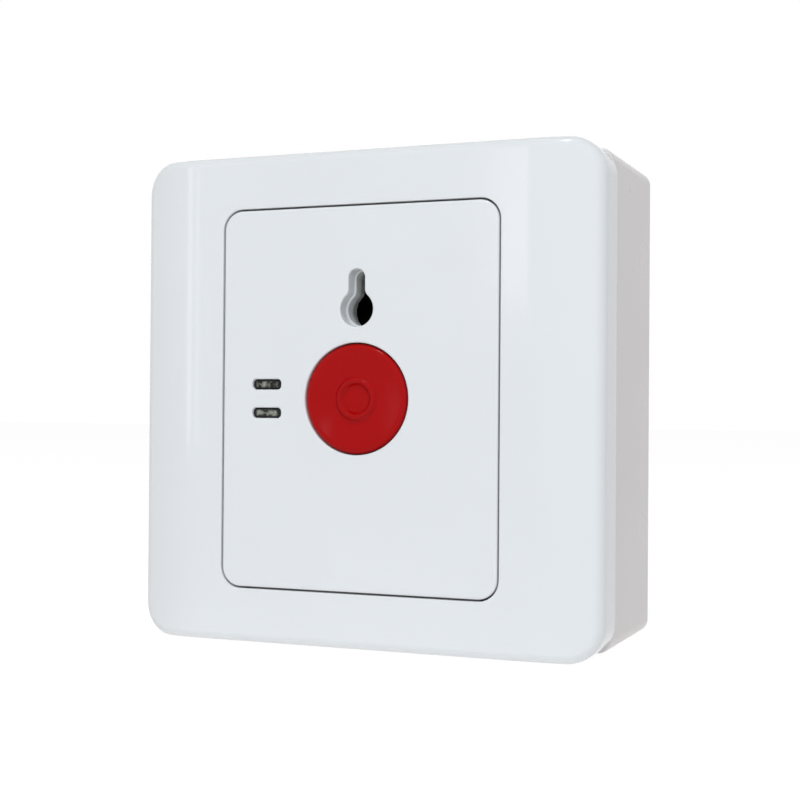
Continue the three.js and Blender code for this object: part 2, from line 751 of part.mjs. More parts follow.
function mountingFrame() {
  const corner = frameCorner - frameThickness - fitGap;
  const whole = (inset) => roundedRect(2 * (mountHalf - inset), 2 * (mountHalf - inset), corner - inset * 0.6);
  const rim = cut(slab(whole(0), mountBack - 0.2, frameDepth), slab(whole(mountRim), mountFront, frameDepth + overCut));
  let body = join(slab(whole(0), mountFront, mountBack), rim);
  for (const x of screwPlaces) body = join(body, rod(footRadius, mountBack - 0.2, frameDepth, [x, 0], 12));
  for (const place of tabScrewPlaces()) {
    body = join(body, rod(mountBossRadius, mountFront - mountBossHeight, mountBack - 0.2, place));
  }
  const windowHalf = hookWidth / 2 + 0.5;
  for (const window of atHooks((x, row) => block(
    [x - windowHalf, x + windowHalf], [mountFront - overCut, frameDepth + overCut],
    [row * (hookHeights - hookThickness / 2 - fitGap), row * (hookHeights + hookThickness / 2 + fitGap)]
      .sort((a, b) => a - b)))) {
    body = cut(body, window);
  }
  for (const side of [-1, 1]) {
    for (const row of [-1, 1]) {
      const ends = [side * (mountHalf - mountRim - 0.1), side * (mountHalf + overCut)].sort((a, b) => a - b);
      const half = barbWidth / 2 + 0.6;
      const middle = row * barbSpacing / 2;
      body = cut(body, block(ends, [mountBack, frameDepth + overCut], [middle - half, middle + half]));
    }
  }
  const housingHole = roundedRect(housingWidth + 2 * fitGap, housingHeight + 2 * fitGap, housingCorner + fitGap, housingCentre);
  const boardHole = [
    [-(boardOffset + boardWidth / 2 + fitGap), housingLeft + overCut],
    [mountFront - overCut, frameDepth + overCut],
    [-(boardHeight / 2 + fitGap), boardHeight / 2 + fitGap],
  ];
  body = cut(body, slab(housingHole, mountFront - overCut, frameDepth + overCut), block(...boardHole));
  const slotWidth = 2 * (frameScrew.shank + fitGap);
  for (const x of screwPlaces) {
    const slot = roundedRect(slotWidth, slotLength, slotWidth / 2, [x, 0]);
    body = cut(body, slab(slot, mountFront - overCut, frameDepth + overCut));
  }
  for (const place of tabScrewPlaces()) {
    body = cut(body, rod(
      tappingScrew.shank + fitGap, mountFront - mountBossHeight - overCut, mountBack + overCut, place));
  }
  return body;
}

function backBox() {
  const whole = (inset) => roundedRect(boxSide - 2 * inset, boxSide - 2 * inset, boxCorner - inset);
  let body = cut(slab(whole(0), frameDepth, stationDepth), slab(whole(boxWall), frameDepth - overCut, floorFront));
  const inner = boxSide / 2 - boxWall;
  for (const x of screwPlaces) {
    const ends = [x, Math.sign(x) * (inner + boxWall / 2)].sort((a, b) => a - b);
    body = join(body, rod(postRadius, frameDepth, floorFront + 0.2, [x, 0], 10));
    body = join(body, block(ends, [frameDepth + 4, floorFront + 0.2], [-postRib / 2, postRib / 2]));
  }
  for (const x of screwPlaces) {
    body = cut(
      body,
      rod(insertRadius + fitGap, frameDepth - overCut, frameDepth + insertLength, [x, 0], 8),
      rod(frameScrew.shank + fitGap, frameDepth, mountFront + frameScrew.length + 2, [x, 0], 6),
    );
  }
  const pocketFront = (frameDepth + floorFront) / 2 - sideKnockOutDepth / 2 + 2;
  for (const row of [-1, 1]) {
    const half = sideKnockOutWidth / 2;
    const wall = [row * (inner - overCut), row * (boxSide / 2 - knockOutSkin)].sort((a, b) => a - b);
    body = cut(
      body,
      rod(knockOutRadius, floorFront - overCut, stationDepth - knockOutSkin, [0, row * knockOutOffset], 12),
      block([-half, half], [pocketFront, pocketFront + sideKnockOutDepth], wall),
      slab(roundedRect(wallSlotLength, wallSlotWidth, wallSlotWidth / 2, [0, row * wallSlotOffset]),
        floorFront - overCut, stationDepth + overCut),
    );
  }
  return body;
}

function postInsert() {
  const back = frameDepth + insertLength;
  const bore = frameScrew.shank + fitGap;
  return turned([
    [bore, frameDepth + 0.2],
    [insertRadius - 0.3, frameDepth + 0.2],
    [insertRadius, frameDepth + 0.7],
    [insertRadius, back - insertLength * 0.45],
    [insertRadius - 0.5, back - insertLength * 0.4],
    [insertRadius - 0.5, back - insertLength * 0.3],
    [insertRadius, back - insertLength * 0.25],
    [insertRadius, back],
    [bore, back],
    [bore, frameDepth + 0.2],
  ], 14);
}

function indicatorBoard() {
  const left = -boardOffset - boardWidth / 2;
  let body = block([left, left + boardWidth], [boardFront, boardBack], [-boardHeight / 2, boardHeight / 2]);
  for (const row of [-1, 1]) {
    body = cut(body, rod(
      boardScrew.shank + fitGap, boardFront - overCut, boardBack + overCut,
      [-boardOffset, row * boardScrewSpacing / 2]));
  }
  return body;
}

// A round lamp with a domed end that stands off the board towards its lens.
function indicatorLamp() {
  const tip = plateThickness + fitGap + lensFlangeThickness + fitGap;
  return turned([
    [0, tip],
    [ledRadius * 0.6, tip + ledRadius * 0.2],
    [ledRadius * 0.92, tip + ledRadius * 0.6],
    [ledRadius, tip + ledRadius],
    [ledRadius, boardFront - 1],
    [ledFlange, boardFront - 1],
    [ledFlange, boardFront],
    [0, boardFront],
  ], 12);
}

// A small resistor that lies across the back of the board.
function resistor(row) {
  const half = resistorLength / 2;
  const r = resistorRadius;
  const profile = [[0, -half], [r * 0.7, -half], [r, -half + 0.4], [r, -half + 1.3], [r * 0.82, -half + 1.7],
    [r * 0.82, half - 1.7], [r, half - 1.3], [r, half - 0.4], [r * 0.7, half], [0, half]];
  const geometry = new THREE.LatheGeometry(profile.map(([x, y]) => new THREE.Vector2(x, y)), 12);
  geometry.rotateZ(-Math.PI / 2);
  geometry.translate(-boardOffset, boardBack + resistorRadius + 0.1, row * resistorSpacing / 2);
  return solid(geometry);
}

// A two-way screw terminal on the back of the board, open towards the left for the wires.
function terminalBlock() {
  const left = -boardOffset - blockWidth / 2;
  const right = left + blockWidth;
  const back = boardBack + blockDepth;
  const section = [[left, boardBack], [right, boardBack], [right, back], [left + 1.8, back], [left, back - 2.4]];
  let body = prism(section, -blockHeight / 2, blockHeight / 2);
  for (const row of [-1, 1]) {
    const z = row * blockPitch / 2;
    body = cut(
      body,
      block([left - overCut, right - 2.2], [boardBack + 1, boardBack + 3.6], [z - 1.5, z + 1.5]),
      rod(blockScrew.head + fitGap, boardBack + 3.2, back + overCut, [-boardOffset, z], 6),
    );
  }
  return body;
}

const finishes = {
  whiteGloss: { color: 0xe4e7ea, roughness: 0.22, metalness: 0 },
  whiteMatte: { color: 0xd8d8d4, roughness: 0.55, metalness: 0 },
  redGloss: { color: 0xc4161c, roughness: 0.25, metalness: 0 },
  smoke: { color: 0x34332f, roughness: 0.2, metalness: 0 },
  blackPlastic: { color: 0x26272a, roughness: 0.5, metalness: 0 },
  steel: { color: 0xb4b7ba, roughness: 0.32, metalness: 1 },
  springSteel: { color: 0x9a9da0, roughness: 0.3, metalness: 1 },
  brass: { color: 0xc39a4a, roughness: 0.32, metalness: 1 },
  board: { color: 0x1f6b3b, roughness: 0.45, metalness: 0 },
  lamp: { color: 0xdfe3dc, roughness: 0.15, metalness: 0 },
  resistor: { color: 0xd0b98a, roughness: 0.5, metalness: 0 },
  blue: { color: 0x2f6fae, roughness: 0.45, metalness: 0 },
};

// Wraps a solid as a named mesh at [x, depth, z].
function piece(name, body, finish, [x, y, z] = [0, 0, 0]) {
  const { vertProperties, triVerts } = body.getMesh();
  const indexed = new THREE.BufferGeometry();
  indexed.setAttribute('position', new THREE.BufferAttribute(new Float32Array(vertProperties), 3));
  indexed.setIndex(new THREE.BufferAttribute(new Uint32Array(triVerts), 1));
  const geometry = indexed.toNonIndexed();
  geometry.computeVertexNormals();
  const mesh = new THREE.Mesh(geometry, new THREE.MeshStandardMaterial(finishes[finish]));
  mesh.name = name;
  mesh.position.set(x, y, z);
  return mesh;
}

function frontGroup() {
  const group = new THREE.Group();
  group.add(piece('face_frame', faceFrame(), 'whiteGloss'), piece('cover_plate', coverPlate(), 'whiteGloss'));
  return group;
}

function buttonGroup() {
  const group = new THREE.Group();
  const springLength = wellFloor - buttonCrown - 2 * fitGap;
  const spring = coilSpring(returnSpringRadius, returnSpringWire, returnSpringTurns, springLength, 12);
  group.add(
    piece('push_button', pushButton(), 'redGloss'),
    piece('contact_bridge', contactBridge(), 'brass'),
    piece('bridge_clip', bridgeClip(), 'springSteel'),
    piece('return_spring', spring, 'springSteel', [0, buttonCrown + fitGap, 0]),
  );
  return group;
}

function latchGroup() {
  const group = new THREE.Group();
  const room = housingRight - housingWall - armRight;
  const spring = piece(
    'latch_spring',
    coilSpring(latchSpringRadius, latchSpringWire, latchSpringTurns, room - 2 * fitGap, 8),
    'springSteel',
    [armRight + fitGap, (slideFront + slideBack) / 2, keyRise],
  );
  spring.rotation.z = -Math.PI / 2;
  group.add(piece('latch_slide', latchSlide(), 'blackPlastic'), spring);
  return group;
}

function switchGroup() {
  const group = new THREE.Group();
  group.add(piece('mechanism_housing', mechanismHousing(), 'whiteMatte'), piece('rear_cover', rearCover(), 'blackPlastic'));
  tabScrewPlaces().forEach(([x, z], i) => {
    group.add(piece(`housing_screw_${i + 1}`, screw(tappingScrew, -1), 'steel', [x, mountBack + tabThickness, z]));
  });
  coverScrewPlaces().forEach(([[x, z]], i) => {
    const name = ['cover_screw_upper', 'cover_screw_lower'][i];
    group.add(piece(name, screw(tappingScrew, -1), 'steel', [x, rearCoverBack, z]));
  });
  atTerminals((x, row) => {
    const name = `${row < 0 ? 'rest' : 'alarm'}_terminal_${x < 0 ? 'left' : 'right'}`;
    const seat = rearCoverBack + stripThickness;
    group.add(
      piece(name, terminal(x, row), 'brass'),
      piece(`${name}_screw`, screw(terminalScrew, -1), 'steel', [x, seat, row * terminalReach]),
    );
  });
  return group;
}

function indicatorGroup() {
  const group = new THREE.Group();
  group.add(piece('indicator_board', indicatorBoard(), 'board'), piece('board_terminal_block', terminalBlock(), 'blue'));
  for (const [word, row] of [['upper', 1], ['lower', -1]]) {
    const z = row * indicatorPitch / 2;
    group.add(
      piece(`indicator_lens_${word}`, indicatorLens(), 'smoke', [-indicatorOffset, 0, z]),
      piece(`indicator_lamp_${word}`, indicatorLamp(), 'lamp', [-indicatorOffset, 0, z]),
      piece(`resistor_${word}`, resistor(row), 'resistor'),
      piece(`board_screw_${word}`, screw(boardScrew, -1), 'steel', [-boardOffset, boardBack, row * boardScrewSpacing / 2]),
      piece(`block_screw_${word}`, screw(blockScrew, -1), 'steel',
        [-boardOffset, boardBack + 3.2 + fitGap + blockScrew.length, row * blockPitch / 2]),
    );
  }
  return group;
}

function carrierGroup() {
  const group = new THREE.Group();
  group.add(piece('mounting_frame', mountingFrame(), 'whiteMatte'), piece('back_box', backBox(), 'whiteGloss'));
  screwPlaces.forEach((x) => {
    const word = x < 0 ? 'left' : 'right';
    group.add(
      piece(`frame_screw_${word}`, screw(frameScrew, 1), 'steel', [x, mountFront, 0]),
      piece(`post_insert_${word}`, postInsert(), 'brass', [x, 0, 0]),
    );
  });
  return group;
}

// Inside this group depth runs from the front of the cover plate. It stands off the wall by the station's depth.
const station = new THREE.Group();
const depthGroup = new THREE.Group();
depthGroup.position.y = -stationDepth;
depthGroup.add(frontGroup(), buttonGroup(), latchGroup(), switchGroup(), indicatorGroup(), carrierGroup());
station.add(depthGroup);

export default station;
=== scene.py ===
"""One-button alarm station: a gloss white wall plate on a surface box, with a red push button.

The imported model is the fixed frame. The pieces that show are modelled finer here, in metres and in
the frame's own place: the front looks along -Y, and +Z is up.
"""

import json
import math

import bmesh
import bpy
from bpy.props import FloatProperty, FloatVectorProperty, PointerProperty
from mathutils import Matrix, Vector


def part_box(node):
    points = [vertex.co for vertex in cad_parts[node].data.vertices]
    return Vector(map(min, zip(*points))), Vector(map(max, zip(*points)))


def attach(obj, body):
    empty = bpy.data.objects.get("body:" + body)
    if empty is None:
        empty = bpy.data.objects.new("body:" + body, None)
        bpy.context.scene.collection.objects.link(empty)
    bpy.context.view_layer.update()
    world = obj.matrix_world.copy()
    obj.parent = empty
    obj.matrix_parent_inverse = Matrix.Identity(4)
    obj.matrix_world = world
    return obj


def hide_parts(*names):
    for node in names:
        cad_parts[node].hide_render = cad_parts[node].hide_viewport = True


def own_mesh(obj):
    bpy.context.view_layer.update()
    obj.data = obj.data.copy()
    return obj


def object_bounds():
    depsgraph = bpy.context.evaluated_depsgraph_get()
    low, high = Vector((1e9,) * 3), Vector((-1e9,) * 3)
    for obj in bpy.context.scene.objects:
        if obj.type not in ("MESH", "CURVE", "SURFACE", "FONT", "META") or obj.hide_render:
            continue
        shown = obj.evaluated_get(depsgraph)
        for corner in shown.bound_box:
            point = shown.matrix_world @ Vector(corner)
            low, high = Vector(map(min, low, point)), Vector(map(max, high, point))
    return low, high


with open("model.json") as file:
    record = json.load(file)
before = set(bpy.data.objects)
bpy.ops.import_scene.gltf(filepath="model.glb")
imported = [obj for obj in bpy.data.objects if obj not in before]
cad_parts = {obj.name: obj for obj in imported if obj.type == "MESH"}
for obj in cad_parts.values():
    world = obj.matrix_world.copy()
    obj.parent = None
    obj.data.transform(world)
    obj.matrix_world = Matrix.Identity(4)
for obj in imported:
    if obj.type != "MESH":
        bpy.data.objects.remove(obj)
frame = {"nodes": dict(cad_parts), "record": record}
cad_low, cad_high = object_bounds()

bl_info = {
    "name": "One-button alarm station",
    "version": (1, 0, 0),
    "blender": (4, 5, 0),
    "location": "View3D > Sidebar > Alarm station",
    "description": "Models the visible pieces of an alarm station and sets it in a plain studio",
    "category": "Object",
}

MM = 0.001
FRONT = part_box("cover_plate")[0].y  # front of the cover plate, from which depths are measured


def length(name, description, default):
    """A size that a user would change, in metres."""
    return FloatProperty(name=name, description=description, default=default, unit="LENGTH", precision=5)


def heading(name, description, degrees):
    """An angle that a user would change."""
    return FloatProperty(name=name, description=description, default=math.radians(degrees), subtype="ANGLE")


def tone(name, description, default):
    """A colour that a user would change, as seen on a screen from 0 to 1."""
    return FloatVectorProperty(
        name=name, description=description, default=default, subtype="COLOR_GAMMA", size=3, min=0, max=1
    )


class StationSizes(bpy.types.PropertyGroup):
    """Sizes of the modelled pieces that the frame's boxes don't give."""

    frame_corner: length("Frame corner", "Corner radius of the face frame", 6 * MM)
    frame_edge: length("Frame edge", "Rounding between the face frame's front and sides", 1.7 * MM)
    frame_wall: length("Frame wall", "Thickness of the face frame", 2 * MM)
    strip_width: length("Strip width", "Width of the side strips that curve back", 12.5 * MM)
    strip_fall: length("Strip fall", "How far the side strips have curved back at the edge", 2.4 * MM)
    rim_wall: length("Rim wall", "Thickness of the rim round the opening", 1 * MM)
    rim_depth: length("Rim depth", "Depth of the rim round the opening", 3.4 * MM)
    opening_edge: length("Opening edge", "Rounding of the opening's front edge", 0.18 * MM)
    seam: length("Seam", "Gap between the face frame and the cover plate", 0.3 * MM)
    plate_corner: length("Plate corner", "Corner radius of the cover plate", 3.4 * MM)
    plate_edge: length("Plate edge", "Rounding of the cover plate's front edge", 0.4 * MM)
    plate_wall: length("Plate wall", "Thickness of the cover plate", 2.2 * MM)
    skirt_wall: length("Skirt wall", "Thickness of the skirt round the cover plate", 1.2 * MM)
    hole_edge: length("Hole edge", "Rounding of the holes in the cover plate", 0.28 * MM)
    key_ledge: length("Key ledge", "Depth at which the keyhole gets narrower", 2.8 * MM)
    button_radius: length("Button radius", "Radius of the push button", 9.5 * MM)
    button_gap: length("Button gap", "Gap between the push button and its hole", 0.14 * MM)
    button_edge: length("Button edge", "Rounding of the push button's rim", 0.95 * MM)
    slot_width: length("Slot width", "Width of the indicator slots", 5.6 * MM)
    slot_height: length("Slot height", "Height of the indicator slots", 1.8 * MM)
    slot_corner: length("Slot corner", "Corner radius of the indicator slots", 0.7 * MM)
    lens_gap: length("Lens gap", "Gap between a lens and its slot", 0.08 * MM)
    lens_edge: length("Lens edge", "Rounding of a lens's front edge", 0.2 * MM)
    button_dish: length("Button dish", "Depth of the push button's dished middle", 0.5 * MM)
    ring_radius: length("Ring radius", "Radius of the raised ring on the push button", 3.1 * MM)
    ring_width: length("Ring width", "Width of the raised ring", 1.6 * MM)
    ring_height: length("Ring height", "Height of the raised ring", 0.67 * MM)
    box_corner: length("Box corner", "Corner radius of the back box", 2.4 * MM)
    box_wall: length("Box wall", "Thickness of the back box's walls", 2.2 * MM)
    box_floor: length("Box floor", "Thickness of the back box's floor", 2 * MM)
    box_front_edge: length("Box front edge", "Rounding of the back box's front edge", 0.35 * MM)
    box_back_edge: length("Box back edge", "Rounding of the back box's rear edge", 0.5 * MM)


class StationColours(bpy.types.PropertyGroup):
    """Colours of the finishes."""

    white_front: tone("White front", "Gloss plastic of frame and plate", (0.885, 0.882, 0.88))
    # Painted shade: the back box's colour is the front white made darker and warmer, to stand for the shade
    # on its sides
    white_box_painted_shade: tone("White box", "Plastic of the back box", (0.852, 0.826, 0.814))
    white_inner: tone("White inner", "Matte plastic inside", (0.8, 0.8, 0.78))
    black_inner: tone("Black inner", "Black plastic inside", (0.11, 0.11, 0.12))
    red_button: tone("Red button", "Push button", (0.655, 0.02, 0.03))
    brass: tone("Brass", "Contacts and inserts", (0.86, 0.72, 0.42))
    steel: tone("Steel", "Zinc-plated screws", (0.78, 0.79, 0.8))
    spring_steel: tone("Spring steel", "Springs and clip", (0.66, 0.67, 0.69))
    board_green: tone("Board green", "Circuit board", (0.06, 0.3, 0.15))
    block_blue: tone("Block blue", "Terminal block", (0.13, 0.36, 0.66))
    resistor_tan: tone("Resistor tan", "Resistor bodies", (0.82, 0.72, 0.52))


class StationStage(bpy.types.PropertyGroup):
    """Camera and light."""

    camera_place: FloatVectorProperty(
        name="Camera place", description="Where the camera stands", subtype="TRANSLATION",
        default=(0.10077, -0.26616, -0.00253),
    )
    camera_yaw: heading("Yaw", "Turn of the camera to the left", 22.12)
    camera_pitch: heading("Pitch", "Tilt of the camera upwards", 0.55)
    camera_roll: heading("Roll", "Roll of the camera", 0.43)
    lens: FloatProperty(name="Lens", description="Focal length in millimetres", default=65.47)
    world_level: FloatProperty(name="World level", description="Light from all round", default=0.25)
    key_level: FloatProperty(name="Key level", description="Level of the large front light", default=1.72)


def sizes():
    return bpy.context.scene.station_sizes


def colours():
    return bpy.context.scene.station_colours


def linear(screen_colour):
    """A colour as seen on a screen, as the linear values that a shader takes."""
    steps = [c / 12.92 if c <= 0.04045 else ((c + 0.055) / 1.055) ** 2.4 for c in screen_colour]
    return (*steps, 1.0)


def at(x, depth, z):
    """A point from millimetres across, behind the cover plate's front, and up."""
    return Vector((x * MM, FRONT + depth * MM, z * MM))


def clear_selection():
    if bpy.context.object and bpy.context.object.mode != "OBJECT":
        bpy.ops.object.mode_set(mode="OBJECT")
    bpy.ops.object.select_all(action="DESELECT")


def pick(piece):
    clear_selection()
    piece.select_set(True)
    bpy.context.view_layer.objects.active = piece


def edit(piece):
    pick(piece)
    bpy.ops.object.mode_set(mode="EDIT")


def leave_edit():
    bpy.ops.object.mode_set(mode="OBJECT")


def choose(kind, test):
    """In edit mode, selects the vertices, edges or faces that pass the test, and nothing else."""
    bpy.ops.mesh.select_mode(type=kind)
    bpy.ops.mesh.select_all(action="DESELECT")
    mesh = bpy.context.object.data
    work = bmesh.from_edit_mesh(mesh)
    work.normal_update()
    for item in {"VERT": work.verts, "EDGE": work.edges, "FACE": work.faces}[kind]:
        if test(item):
            item.select_set(True)
    bmesh.update_edit_mesh(mesh)


def apply(piece, modifier):
    pick(piece)
    bpy.ops.object.modifier_apply(modifier=modifier.name)


def block(name, low, high):
    """A cuboid between two corners, with its place in its mesh."""
    clear_selection()
    bpy.ops.mesh.primitive_cube_add(size=1, location=(low + high) / 2, scale=high - low)
    piece = bpy.context.object
    piece.name = name
    bpy.ops.object.transform_apply(location=True, rotation=True, scale=True)
    return piece


def round_corners(piece, radius, steps):
    """Rounds the four edges of a cuboid that run along the depth."""
    edit(piece)
    choose("EDGE", lambda e: abs((e.verts[0].co - e.verts[1].co).normalized().y) > 0.99)
    bpy.ops.mesh.bevel(offset=radius, segments=steps, affect="EDGES", clamp_overlap=False)
    leave_edit()


def round_front(piece, radius, steps, y):
    """Rounds the edges round a flat front at the given place."""
    edit(piece)
    choose("EDGE", lambda e: all(abs(v.co.y - y) < 1e-6 for v in e.verts) and len(e.link_faces) == 2)
    bpy.ops.mesh.bevel(offset=radius, segments=steps, affect="EDGES", clamp_overlap=False)
    leave_edit()


def rod(name, radius, x, z, depth_from, depth_to, sides=48):
    """A round rod along the depth, in millimetres."""
    clear_selection()
    middle = at(x, (depth_from + depth_to) / 2, z)
    bpy.ops.mesh.primitive_cylinder_add(
        vertices=sides, radius=radius * MM, depth=(depth_to - depth_from) * MM,
        location=middle, rotation=(math.pi / 2, 0, 0),
    )
    piece = bpy.context.object
    piece.name = name
    bpy.ops.object.transform_apply(location=True, rotation=True, scale=True)
    return piece


def combine(piece, tool, operation):
    """Joins the tool to the piece or cuts it out, and removes the tool."""
    modifier = piece.modifiers.new("combine", "BOOLEAN")
    modifier.operation = operation
    modifier.solver = "EXACT"
    modifier.object = tool
    apply(piece, modifier)
    bpy.data.objects.remove(tool)


def cut(piece, *tools):
    for tool in tools:
        combine(piece, tool, "DIFFERENCE")


def join(piece, *tools):
    for tool in tools:
        combine(piece, tool, "UNION")


def first_point(name, place):
    """A mesh of one vertex, from which an outline is drawn."""
    clear_selection()
    bpy.ops.mesh.primitive_plane_add(size=MM, location=place)
    piece = bpy.context.object
    piece.name = name
    bpy.ops.object.transform_apply(location=True, rotation=True, scale=True)
    bpy.ops.object.mode_set(mode="EDIT")
    bpy.ops.mesh.select_mode(type="VERT")
    bpy.ops.mesh.select_all(action="SELECT")
    bpy.ops.mesh.merge(type="CENTER")
    return piece


def draw_line(step):
    bpy.ops.mesh.extrude_region_move(TRANSFORM_OT_translate={"value": step})


def fill_and_extrude(depth):
    """Closes an outline, fills it and gives it depth."""
    bpy.ops.mesh.select_all(action="SELECT")
    bpy.ops.mesh.remove_doubles(threshold=0.002 * MM)
    bpy.ops.mesh.edge_face_add()
    bpy.ops.mesh.extrude_region_move(TRANSFORM_OT_translate={"value": (0, depth, 0)})
    bpy.ops.mesh.select_all(action="SELECT")
    bpy.ops.mesh.normals_make_consistent(inside=False)
    leave_edit()


# The keyhole, in millimetres
KEY_RISE = 15.4  # from the button's axis up to the key's axis
KEY_RADIUS = 3.05
KEY_SLOT = 3.05  # width
KEY_REACH = 6.9  # from the key's axis to the top of the slot
KEY_FILLET = 1.5
KEY_LIP = 0.3  # how much narrower the keyhole is behind its ledge, all round

# Behind the cover plate's front, in millimetres
SKIRT_END = 6
RIB_START = 2  # what stands on the plate's back begins inside the plate
COLLAR_WALL = 1.2
COLLAR_END = 5.5
GUIDE_WALL = 1.4
GUIDE_END = 5
BOSS_PLACE = (-18.2, 10.8)  # across, and up or down
BOSS_RADIUS = 2.2
BOSS_END = 7.5
BOSS_BORE = 1.2
BOSS_FLOOR = 4.4  # depth of the bore's blind end
HOOK_PLACE = 16
HOOK_WIDTH = 7
HOOK_WALL = 1.2
HOOK_INSET = 4.5  # from the plate's edge to the middle of the hook
HOOK_END = 9.4
HOOK_BARB = 0.8
HOOK_CATCH = (8.3, 8.74)  # depths at which the barb begins and is widest
LENS_PLACE = (-17.1, 2.5)  # across, and up or down
LENS_FLANGE = 2.5

# The back box, in millimetres
POST_PLACE = 30.15
POST_RADIUS = 4.6
POST_FRONT = 10
POST_FOOT = 36.7
POST_BORES = ((3.2, 9, 18, 32), (1.95, 17, 24, 24))  # radius, from, to, sides: insert and screw
POST_RIB = 0.8  # half its thickness
POST_RIB_FRONT = 14
KNOCK_OUT_RADIUS = 9
KNOCK_OUT_PLACE = 16
SIDE_KNOCK_OUT = (10, 19.25, 31.25)  # half its width, and the depths of its ends
KNOCK_OUT_SKIN = 0.8  # what is left to break through
WALL_SLOT = (6, 2.4)  # half its width and height
WALL_SLOT_PLACE = 31.5


def keyhole(name, grow, depth_from, depth_to):
    """A keyhole prism, grown all round by some millimetres: a bore, a slot and two small fillets."""
    bore = KEY_RADIUS + grow
    half = KEY_SLOT / 2 + grow
    fillet = KEY_FILLET - grow * 0.8
    neck = math.sqrt((bore + fillet) ** 2 - (half + fillet) ** 2)
    lean = math.atan2(neck, half + fillet)
    slot_top = KEY_RISE + KEY_REACH + grow - half
    piece = first_point(name, at(half, depth_from, KEY_RISE + neck))
    draw_line((0, 0, (slot_top - KEY_RISE - neck) * MM))
    turn = {"dupli": False, "axis": (0, 1, 0)}
    bpy.ops.mesh.spin(steps=16, angle=math.pi, center=at(0, depth_from, slot_top), **turn)
    draw_line((0, 0, (KEY_RISE + neck - slot_top) * MM))
    bpy.ops.mesh.spin(
        steps=8, angle=-lean, center=at(-half - fillet, depth_from, KEY_RISE + neck), **turn)
    bpy.ops.mesh.spin(steps=48, angle=math.pi + 2 * lean, center=at(0, depth_from, KEY_RISE), **turn)
    bpy.ops.mesh.spin(
        steps=8, angle=-lean, center=at(half + fillet, depth_from, KEY_RISE + neck), **turn)
    fill_and_extrude((depth_to - depth_from) * MM)
    return piece


def turned(name, profile, steps):
    """A profile of [radius, depth] points in metres, turned about the depth axis."""
    piece = first_point(name, (profile[0][0], profile[0][1], 0))
    for (r1, y1), (r2, y2) in zip(profile, profile[1:]):
        draw_line((r2 - r1, y2 - y1, 0))
    bpy.ops.mesh.select_all(action="SELECT")
    bpy.ops.mesh.spin(steps=steps, angle=2 * math.pi, center=(0, 0, 0), axis=(0, 1, 0), dupli=False)
    bpy.ops.mesh.select_all(action="SELECT")
    bpy.ops.mesh.remove_doubles(threshold=0.001 * MM)
    bpy.ops.mesh.normals_make_consistent(inside=False)
    leave_edit()
    return piece


FLAT_AREA = 400 * MM * MM  # faces from this size on are flat walls


def smooth(piece, angle=35):
    """Shades gentle turns smooth and keeps flat faces flat."""
    pick(piece)
    bpy.ops.object.shade_smooth_by_angle(angle=math.radians(angle))
    for face in piece.data.polygons:
        if face.area > FLAT_AREA:
            face.use_smooth = False
    modifier = piece.modifiers.new("flat faces", "WEIGHTED_NORMAL")
    modifier.keep_sharp = True
    apply(piece, modifier)


def put(piece, material, body, slot, *nodes):
    """Gives a finished piece its finish and its body, and hides the nodes that it stands for."""
    piece.data.materials.clear()
    piece.data.materials.append(material)
    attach(piece, body)
    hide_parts(*nodes)


def frame_fall(x):
    """How far the face frame's front has curved back at x."""
    width, fall = sizes().strip_width, sizes().strip_fall
    past = abs(x) - (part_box("face_frame")[1].x - width)
    if past <= 0:
        return 0
    radius = (width**2 + fall**2) / (2 * fall)
    return radius - math.sqrt(radius**2 - past**2)


def noise_group(name, fineness, detail):
    """A node group that puts out fine noise over Object coordinates."""
    group = bpy.data.node_groups.new(name, "ShaderNodeTree")
    scale = group.interface.new_socket("Fineness", in_out="INPUT", socket_type="NodeSocketFloat")
    scale.default_value = fineness
    group.interface.new_socket("Value", in_out="OUTPUT", socket_type="NodeSocketFloat")
    group.interface.new_socket("Colour", in_out="OUTPUT", socket_type="NodeSocketColor")
    inputs = group.nodes.new("NodeGroupInput")
    outputs = group.nodes.new("NodeGroupOutput")
    place = group.nodes.new("ShaderNodeTexCoord")
    noise = group.nodes.new("ShaderNodeTexNoise")
    noise.inputs["Detail"].default_value = detail
    group.links.new(place.outputs["Object"], noise.inputs["Vector"])
    group.links.new(inputs.outputs["Fineness"], noise.inputs["Scale"])
    group.links.new(noise.outputs["Fac"], outputs.inputs["Value"])
    group.links.new(noise.outputs["Color"], outputs.inputs["Colour"])
    return group


def grain_group():
    """Mould grain: one shared group that all plastics use with their own fineness."""
    return bpy.data.node_groups.get("Mould grain") or noise_group("Mould grain", 900, 3)


def cloud_group():
    """Slow clouding of a surface, for colour and roughness."""
    return bpy.data.node_groups.get("Clouding") or noise_group("Clouding", 60, 2)


def place_group(tree, group, fineness):
    node = tree.nodes.new("ShaderNodeGroup")
    node.node_tree = group
    node.inputs["Fineness"].default_value = fineness
    return node


def between(tree, value, low, high):
    """Spreads a noise value over a range of plain numbers."""
    node = tree.nodes.new("ShaderNodeMapRange")
    node.inputs["From Min"].default_value = 0.3
    node.inputs["From Max"].default_value = 0.7
    node.inputs["To Min"].default_value = low
    node.inputs["To Max"].default_value = high
    tree.links.new(value, node.inputs["Value"])
    return node.outputs["Result"]


def mixed(tree, factor, first, second):
    """Mixes two plain colours by a factor that varies over the surface."""
    node = tree.nodes.new("ShaderNodeMix")
    node.data_type = "RGBA"
    node.inputs["A"].default_value = first
    node.inputs["B"].default_value = second
    tree.links.new(factor, node.inputs["Factor"])
    return node.outputs["Result"]


def shade(colour, share):
    """A linear colour made lighter or darker by a share."""
    return (*[min(1.0, c * share) for c in colour[:3]], 1.0)


